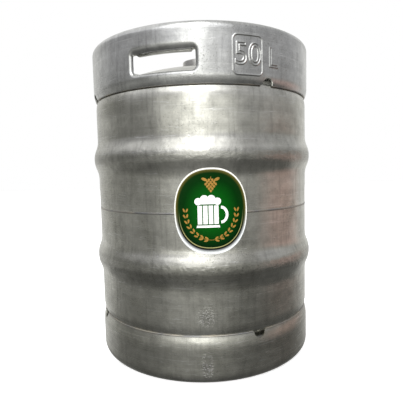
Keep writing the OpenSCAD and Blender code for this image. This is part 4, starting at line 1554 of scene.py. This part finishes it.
floor_mesh = bmesh.new()
bmesh.ops.create_grid(floor_mesh, x_segments=1, y_segments=1, size=6)
made = bpy.data.meshes.new("floor")
floor_mesh.to_mesh(made)
floor_mesh.free()
floor = bpy.data.objects.new("floor", made)
bpy.context.scene.collection.objects.link(floor)
pale = bpy.data.materials.new("pale_floor")
nodes, links = bare_tree(pale)
paper = nodes.new("ShaderNodeBsdfPrincipled")
paper.label = "White paper sweep"
paper.location = (0, 0)
paper_out = nodes.new("ShaderNodeOutputMaterial")
paper_out.label = "Surface"
paper_out.location = (300, 0)
paper.inputs["Base Color"].default_value = (0.86, 0.86, 0.86, 1)
paper.inputs["Roughness"].default_value = 0.9
paper.inputs["Emission Color"].default_value = (1, 1, 1, 1)
paper.inputs["Emission Strength"].default_value = 0.55
links.new(paper.outputs["BSDF"], paper_out.inputs["Surface"])
made.materials.append(pale)
floor.visible_glossy = False

sky = bpy.data.worlds.new("soft_sky")
bpy.context.scene.world = sky
nodes, links = bare_tree(sky)
way = nodes.new("ShaderNodeTexCoord")
way.label = "Direction"
way.location = (-1600, 0)
parts = nodes.new("ShaderNodeSeparateXYZ")
parts.label = "Across, along and up"
parts.location = (-1400, 0)
level = nodes.new("ShaderNodeMapRange")
level.label = "Down to up"
sides = nodes.new("ShaderNodeValToRGB")
sides.label = "Left: dim ground to bright sky"
right_side = nodes.new("ShaderNodeValToRGB")
right_side.label = "Right: dim ground to pale sky"
front_up = nodes.new("ShaderNodeValToRGB")
front_up.label = "Opening in front, by height"
compass = nodes.new("ShaderNodeVectorMath")
compass.label = "Drop the height"
compass_way = nodes.new("ShaderNodeVectorMath")
compass_way.label = "Compass direction"
front_way = nodes.new("ShaderNodeVectorMath")
front_way.label = "Towards the opening"
slit_up = nodes.new("ShaderNodeMapRange")
slit_up.label = "Bright middle above the horizon"
front_width = nodes.new("ShaderNodeMapRange")
front_width.label = "Width of the opening"
slit_width = nodes.new("ShaderNodeMapRange")
slit_width.label = "Its bright middle"
opening = nodes.new("ShaderNodeMix")
opening.label = "Light from the opening"
slit_glow = nodes.new("ShaderNodeMath")
slit_glow.label = "Glow of the middle"
right_way = nodes.new("ShaderNodeMapRange")
right_way.label = "Left to right"
shaded = nodes.new("ShaderNodeMix")
shaded.label = "Left or right"
middle_lit = nodes.new("ShaderNodeMix")
middle_lit.label = "With the bright middle"
red_way = nodes.new("ShaderNodeVectorMath")
red_way.label = "Towards a reddish wall"
red_width = nodes.new("ShaderNodeMapRange")
red_width.label = "Width of the wall"
red_up = nodes.new("ShaderNodeValToRGB")
red_up.label = "Height of the wall"
red_share = nodes.new("ShaderNodeMath")
red_share.label = "Share of the wall"
reddened = nodes.new("ShaderNodeMix")
reddened.label = "Reddish wall"
lit = nodes.new("ShaderNodeMix")
lit.label = "Sides and opening"
behind = nodes.new("ShaderNodeMapRange")
behind.label = "Behind the keg"
behind_up = nodes.new("ShaderNodeMapRange")
behind_up.label = "Not on the ground behind"
behind_share = nodes.new("ShaderNodeMath")
behind_share.label = "Share of the pale wall"
pale_back = nodes.new("ShaderNodeMix")
pale_back.label = "Pale behind"
seen = nodes.new("ShaderNodeLightPath")
seen.label = "Seen directly"
seen.location = (-200, 400)
backdrop = nodes.new("ShaderNodeMix")
backdrop.label = "White backdrop"
backdrop.location = (0, 100)
glow = nodes.new("ShaderNodeBackground")
glow.label = "Sky light"
glow.location = (200, 100)
world_out = nodes.new("ShaderNodeOutputWorld")
world_out.label = "World"
world_out.location = (400, 100)
by_height = nodes.new("NodeFrame")
by_height.label = "Sky by height, left and right"
for node, spot_at in (
    (level, (-1200, 200)), (sides, (-1000, 300)), (right_side, (-1000, 560)), (right_way, (-1000, -750)),
    (shaded, (-600, 300)),
):
    node.location, node.parent = spot_at, by_height
in_front = nodes.new("NodeFrame")
in_front.label = "Opening in front"
for node, spot_at in (
    (compass, (-1400, -200)), (compass_way, (-1300, -300)), (front_way, (-1200, -200)),
    (front_up, (-1000, 0)), (front_width, (-1000, -250)), (opening, (-600, 0)), (slit_up, (-1000, -400)),
    (slit_width, (-1000, -500)), (slit_glow, (-600, -400)), (middle_lit, (-300, -100)),
    (lit, (-400, 100)),
):
    node.location, node.parent = spot_at, in_front
red_wall = nodes.new("NodeFrame")
red_wall.label = "Reddish wall to the right"
for node, spot_at in (
    (red_way, (-1200, -1250)), (red_width, (-1000, -1250)), (red_up, (-1000, -1500)),
    (red_share, (-700, -1300)), (reddened, (-150, -200)),
):
    node.location, node.parent = spot_at, red_wall
pale_wall = nodes.new("NodeFrame")
pale_wall.label = "Pale wall behind"
for node, spot_at in (
    (behind, (-1000, -1000)), (behind_up, (-1000, -1100)), (behind_share, (-600, -1000)),
    (pale_back, (-200, 100)),
):
    node.location, node.parent = spot_at, pale_wall
level.inputs["From Min"].default_value = -1
for ramp, stops in (
    (sides, (
        (0.0, 0.11), (0.20, 0.125), (0.28, 0.15), (0.35, 0.23), (0.42, 0.31), (0.48, 0.29), (0.52, 0.22),
        (0.56, 0.20), (0.59, 0.25), (0.62, 0.37), (0.70, 0.40), (0.76, 0.78), (1.0, 0.88),
    )),
    (right_side, (
        (0.0, 0.10), (0.20, 0.11), (0.28, 0.12), (0.35, 0.15), (0.42, 0.31), (0.48, 0.36), (0.52, 0.31),
        (0.56, 0.36), (0.62, 0.48), (0.68, 0.46), (0.80, 0.47), (1.0, 0.7),
    )),
    (front_up, (
        (0.0, 0.07), (0.25, 0.13), (0.40, 0.20), (0.47, 0.27), (0.52, 0.38), (0.55, 1.3),
        (0.59, 1.2), (0.615, 0.34), (0.68, 0.34), (0.74, 1.5), (1.0, 1.3),
    )),
):
    ramp.color_ramp.elements[0].color = (stops[0][1],) * 3 + (1,)
    ramp.color_ramp.elements[1].position = 1.0
    ramp.color_ramp.elements[1].color = (stops[-1][1],) * 3 + (1,)
    for position, value in stops[1:-1]:
        cool = 1.03 if position > 0.6 else 0.96
        ramp.color_ramp.elements.new(position).color = (value, value, value * cool, 1)
compass.operation = "MULTIPLY"
compass.inputs[1].default_value = (1, 1, 0)
compass_way.operation = "NORMALIZE"
slit_up.interpolation_type = "SMOOTHSTEP"
slit_up.inputs["From Min"].default_value = 0.03
slit_up.inputs["From Max"].default_value = 0.10
slit_up.inputs["To Max"].default_value = 1.1
slit_glow.operation = "MULTIPLY"
middle_lit.data_type = "RGBA"
middle_lit.blend_type = "ADD"
middle_lit.clamp_factor = False
middle_lit.inputs["B"].default_value = (1, 1, 0.98, 1)
red_way.operation = "DOT_PRODUCT"
red_way.inputs[1].default_value = (1, 0.03, 0)
red_width.interpolation_type = "SMOOTHSTEP"
red_width.inputs["From Min"].default_value = 0.78
red_width.inputs["From Max"].default_value = 1.01
red_width.inputs["To Max"].default_value = 0.22
red_up.color_ramp.elements[0].position = 0.34
red_up.color_ramp.elements[1].position = 0.56
red_up.color_ramp.elements[1].color = (0, 0, 0, 1)
for position in (0.44, 0.48):
    red_up.color_ramp.elements.new(position).color = (1, 1, 1, 1)
red_share.operation = "MULTIPLY"
reddened.data_type = "RGBA"
reddened.blend_type = "ADD"
reddened.clamp_factor = False
reddened.inputs["B"].default_value = (1, 0.35, 0.25, 1)
front_way.operation = "DOT_PRODUCT"
front_way.inputs[1].default_value = (-0.145, -0.989, 0)
front_width.interpolation_type = "SMOOTHSTEP"
front_width.inputs["From Min"].default_value = 0.64
front_width.inputs["From Max"].default_value = 0.99
slit_width.interpolation_type = "SMOOTHSTEP"
slit_width.inputs["From Min"].default_value = 0.965
slit_width.inputs["From Max"].default_value = 0.995
opening.data_type = "RGBA"
opening.inputs["A"].default_value = (0, 0, 0, 1)
right_way.interpolation_type = "SMOOTHSTEP"
right_way.inputs["From Min"].default_value = -0.35
right_way.inputs["From Max"].default_value = 0.35
shaded.data_type = "RGBA"
lit.data_type = "RGBA"
lit.blend_type = "ADD"
lit.clamp_factor = False
lit.inputs["Factor"].default_value = 1
behind.interpolation_type = "SMOOTHSTEP"
behind.inputs["From Min"].default_value = 0.1
behind.inputs["From Max"].default_value = 1.08
behind_up.interpolation_type = "SMOOTHSTEP"
behind_up.inputs["From Min"].default_value = -0.47
behind_up.inputs["From Max"].default_value = -0.36
behind_up.inputs["To Min"].default_value = 0.25
behind_share.operation = "MULTIPLY"
pale_back.data_type = "RGBA"
pale_back.inputs["B"].default_value = (0.88, 0.88, 0.86, 1)
backdrop.data_type = "RGBA"
backdrop.inputs["B"].default_value = (1, 1, 1, 1)
links.new(way.outputs["Generated"], parts.inputs["Vector"])
links.new(parts.outputs["Z"], level.inputs["Value"])
links.new(level.outputs["Result"], sides.inputs["Fac"])
links.new(level.outputs["Result"], front_up.inputs["Fac"])
links.new(level.outputs["Result"], right_side.inputs["Fac"])
links.new(way.outputs["Generated"], compass.inputs[0])
links.new(compass.outputs["Vector"], compass_way.inputs[0])
links.new(compass_way.outputs["Vector"], front_way.inputs[0])
links.new(compass_way.outputs["Vector"], red_way.inputs[0])
links.new(red_way.outputs["Value"], red_width.inputs["Value"])
links.new(level.outputs["Result"], red_up.inputs["Fac"])
links.new(red_width.outputs["Result"], red_share.inputs[0])
links.new(red_up.outputs["Color"], red_share.inputs[1])
links.new(red_share.outputs[0], reddened.inputs["Factor"])
links.new(parts.outputs["Z"], slit_up.inputs["Value"])
links.new(front_way.outputs["Value"], front_width.inputs["Value"])
links.new(front_way.outputs["Value"], slit_width.inputs["Value"])
links.new(slit_width.outputs["Result"], slit_glow.inputs[0])
links.new(slit_up.outputs["Result"], slit_glow.inputs[1])
links.new(front_width.outputs["Result"], opening.inputs["Factor"])
links.new(front_up.outputs["Color"], opening.inputs["B"])
links.new(opening.outputs["Result"], middle_lit.inputs["A"])
links.new(slit_glow.outputs[0], middle_lit.inputs["Factor"])
links.new(parts.outputs["X"], right_way.inputs["Value"])
links.new(sides.outputs["Color"], shaded.inputs["A"])
links.new(right_side.outputs["Color"], shaded.inputs["B"])
links.new(right_way.outputs["Result"], shaded.inputs["Factor"])
links.new(shaded.outputs["Result"], reddened.inputs["A"])
links.new(reddened.outputs["Result"], lit.inputs["A"])
links.new(middle_lit.outputs["Result"], lit.inputs["B"])
links.new(parts.outputs["Y"], behind.inputs["Value"])
links.new(parts.outputs["Z"], behind_up.inputs["Value"])
links.new(behind.outputs["Result"], behind_share.inputs[0])
links.new(behind_up.outputs["Result"], behind_share.inputs[1])
links.new(behind_share.outputs[0], pale_back.inputs["Factor"])
links.new(lit.outputs["Result"], pale_back.inputs["A"])
links.new(pale_back.outputs["Result"], backdrop.inputs["A"])
links.new(seen.outputs["Is Camera Ray"], backdrop.inputs["Factor"])
links.new(backdrop.outputs["Result"], glow.inputs["Color"])
links.new(glow.outputs["Background"], world_out.inputs["Surface"])

soft_box = bpy.data.lights.new("front_soft_box", "AREA")
soft_box.shape = "RECTANGLE"
soft_box.size = 1.6
soft_box.size_y = 1.6
soft_box.energy = 22
front_light = bpy.data.objects.new("front_soft_box", soft_box)
bpy.context.scene.collection.objects.link(front_light)
front_light.location = (-0.3, -1.9, 1.3)
to_girth = Vector((0, 0, GIRTH_Z)) - front_light.location
front_light.rotation_euler = to_girth.to_track_quat("-Z", "Y").to_euler()
front_light.visible_glossy = False

lens = bpy.data.cameras.new("camera")
lens.lens = 35
lens.sensor_width = 36
camera = bpy.data.objects.new("camera", lens)
bpy.context.scene.collection.objects.link(camera)
camera.location = CAMERA_AT
camera.rotation_euler = (
    Matrix.Rotation(radians(CAMERA_TURN), 3, "Z") @ Matrix.Rotation(radians(90 - CAMERA_DIP), 3, "X")
    @ Matrix.Rotation(radians(CAMERA_ROLL), 3, "Z")
).to_euler()
bpy.context.scene.camera = camera
bpy.context.scene.view_settings.view_transform = "Standard"
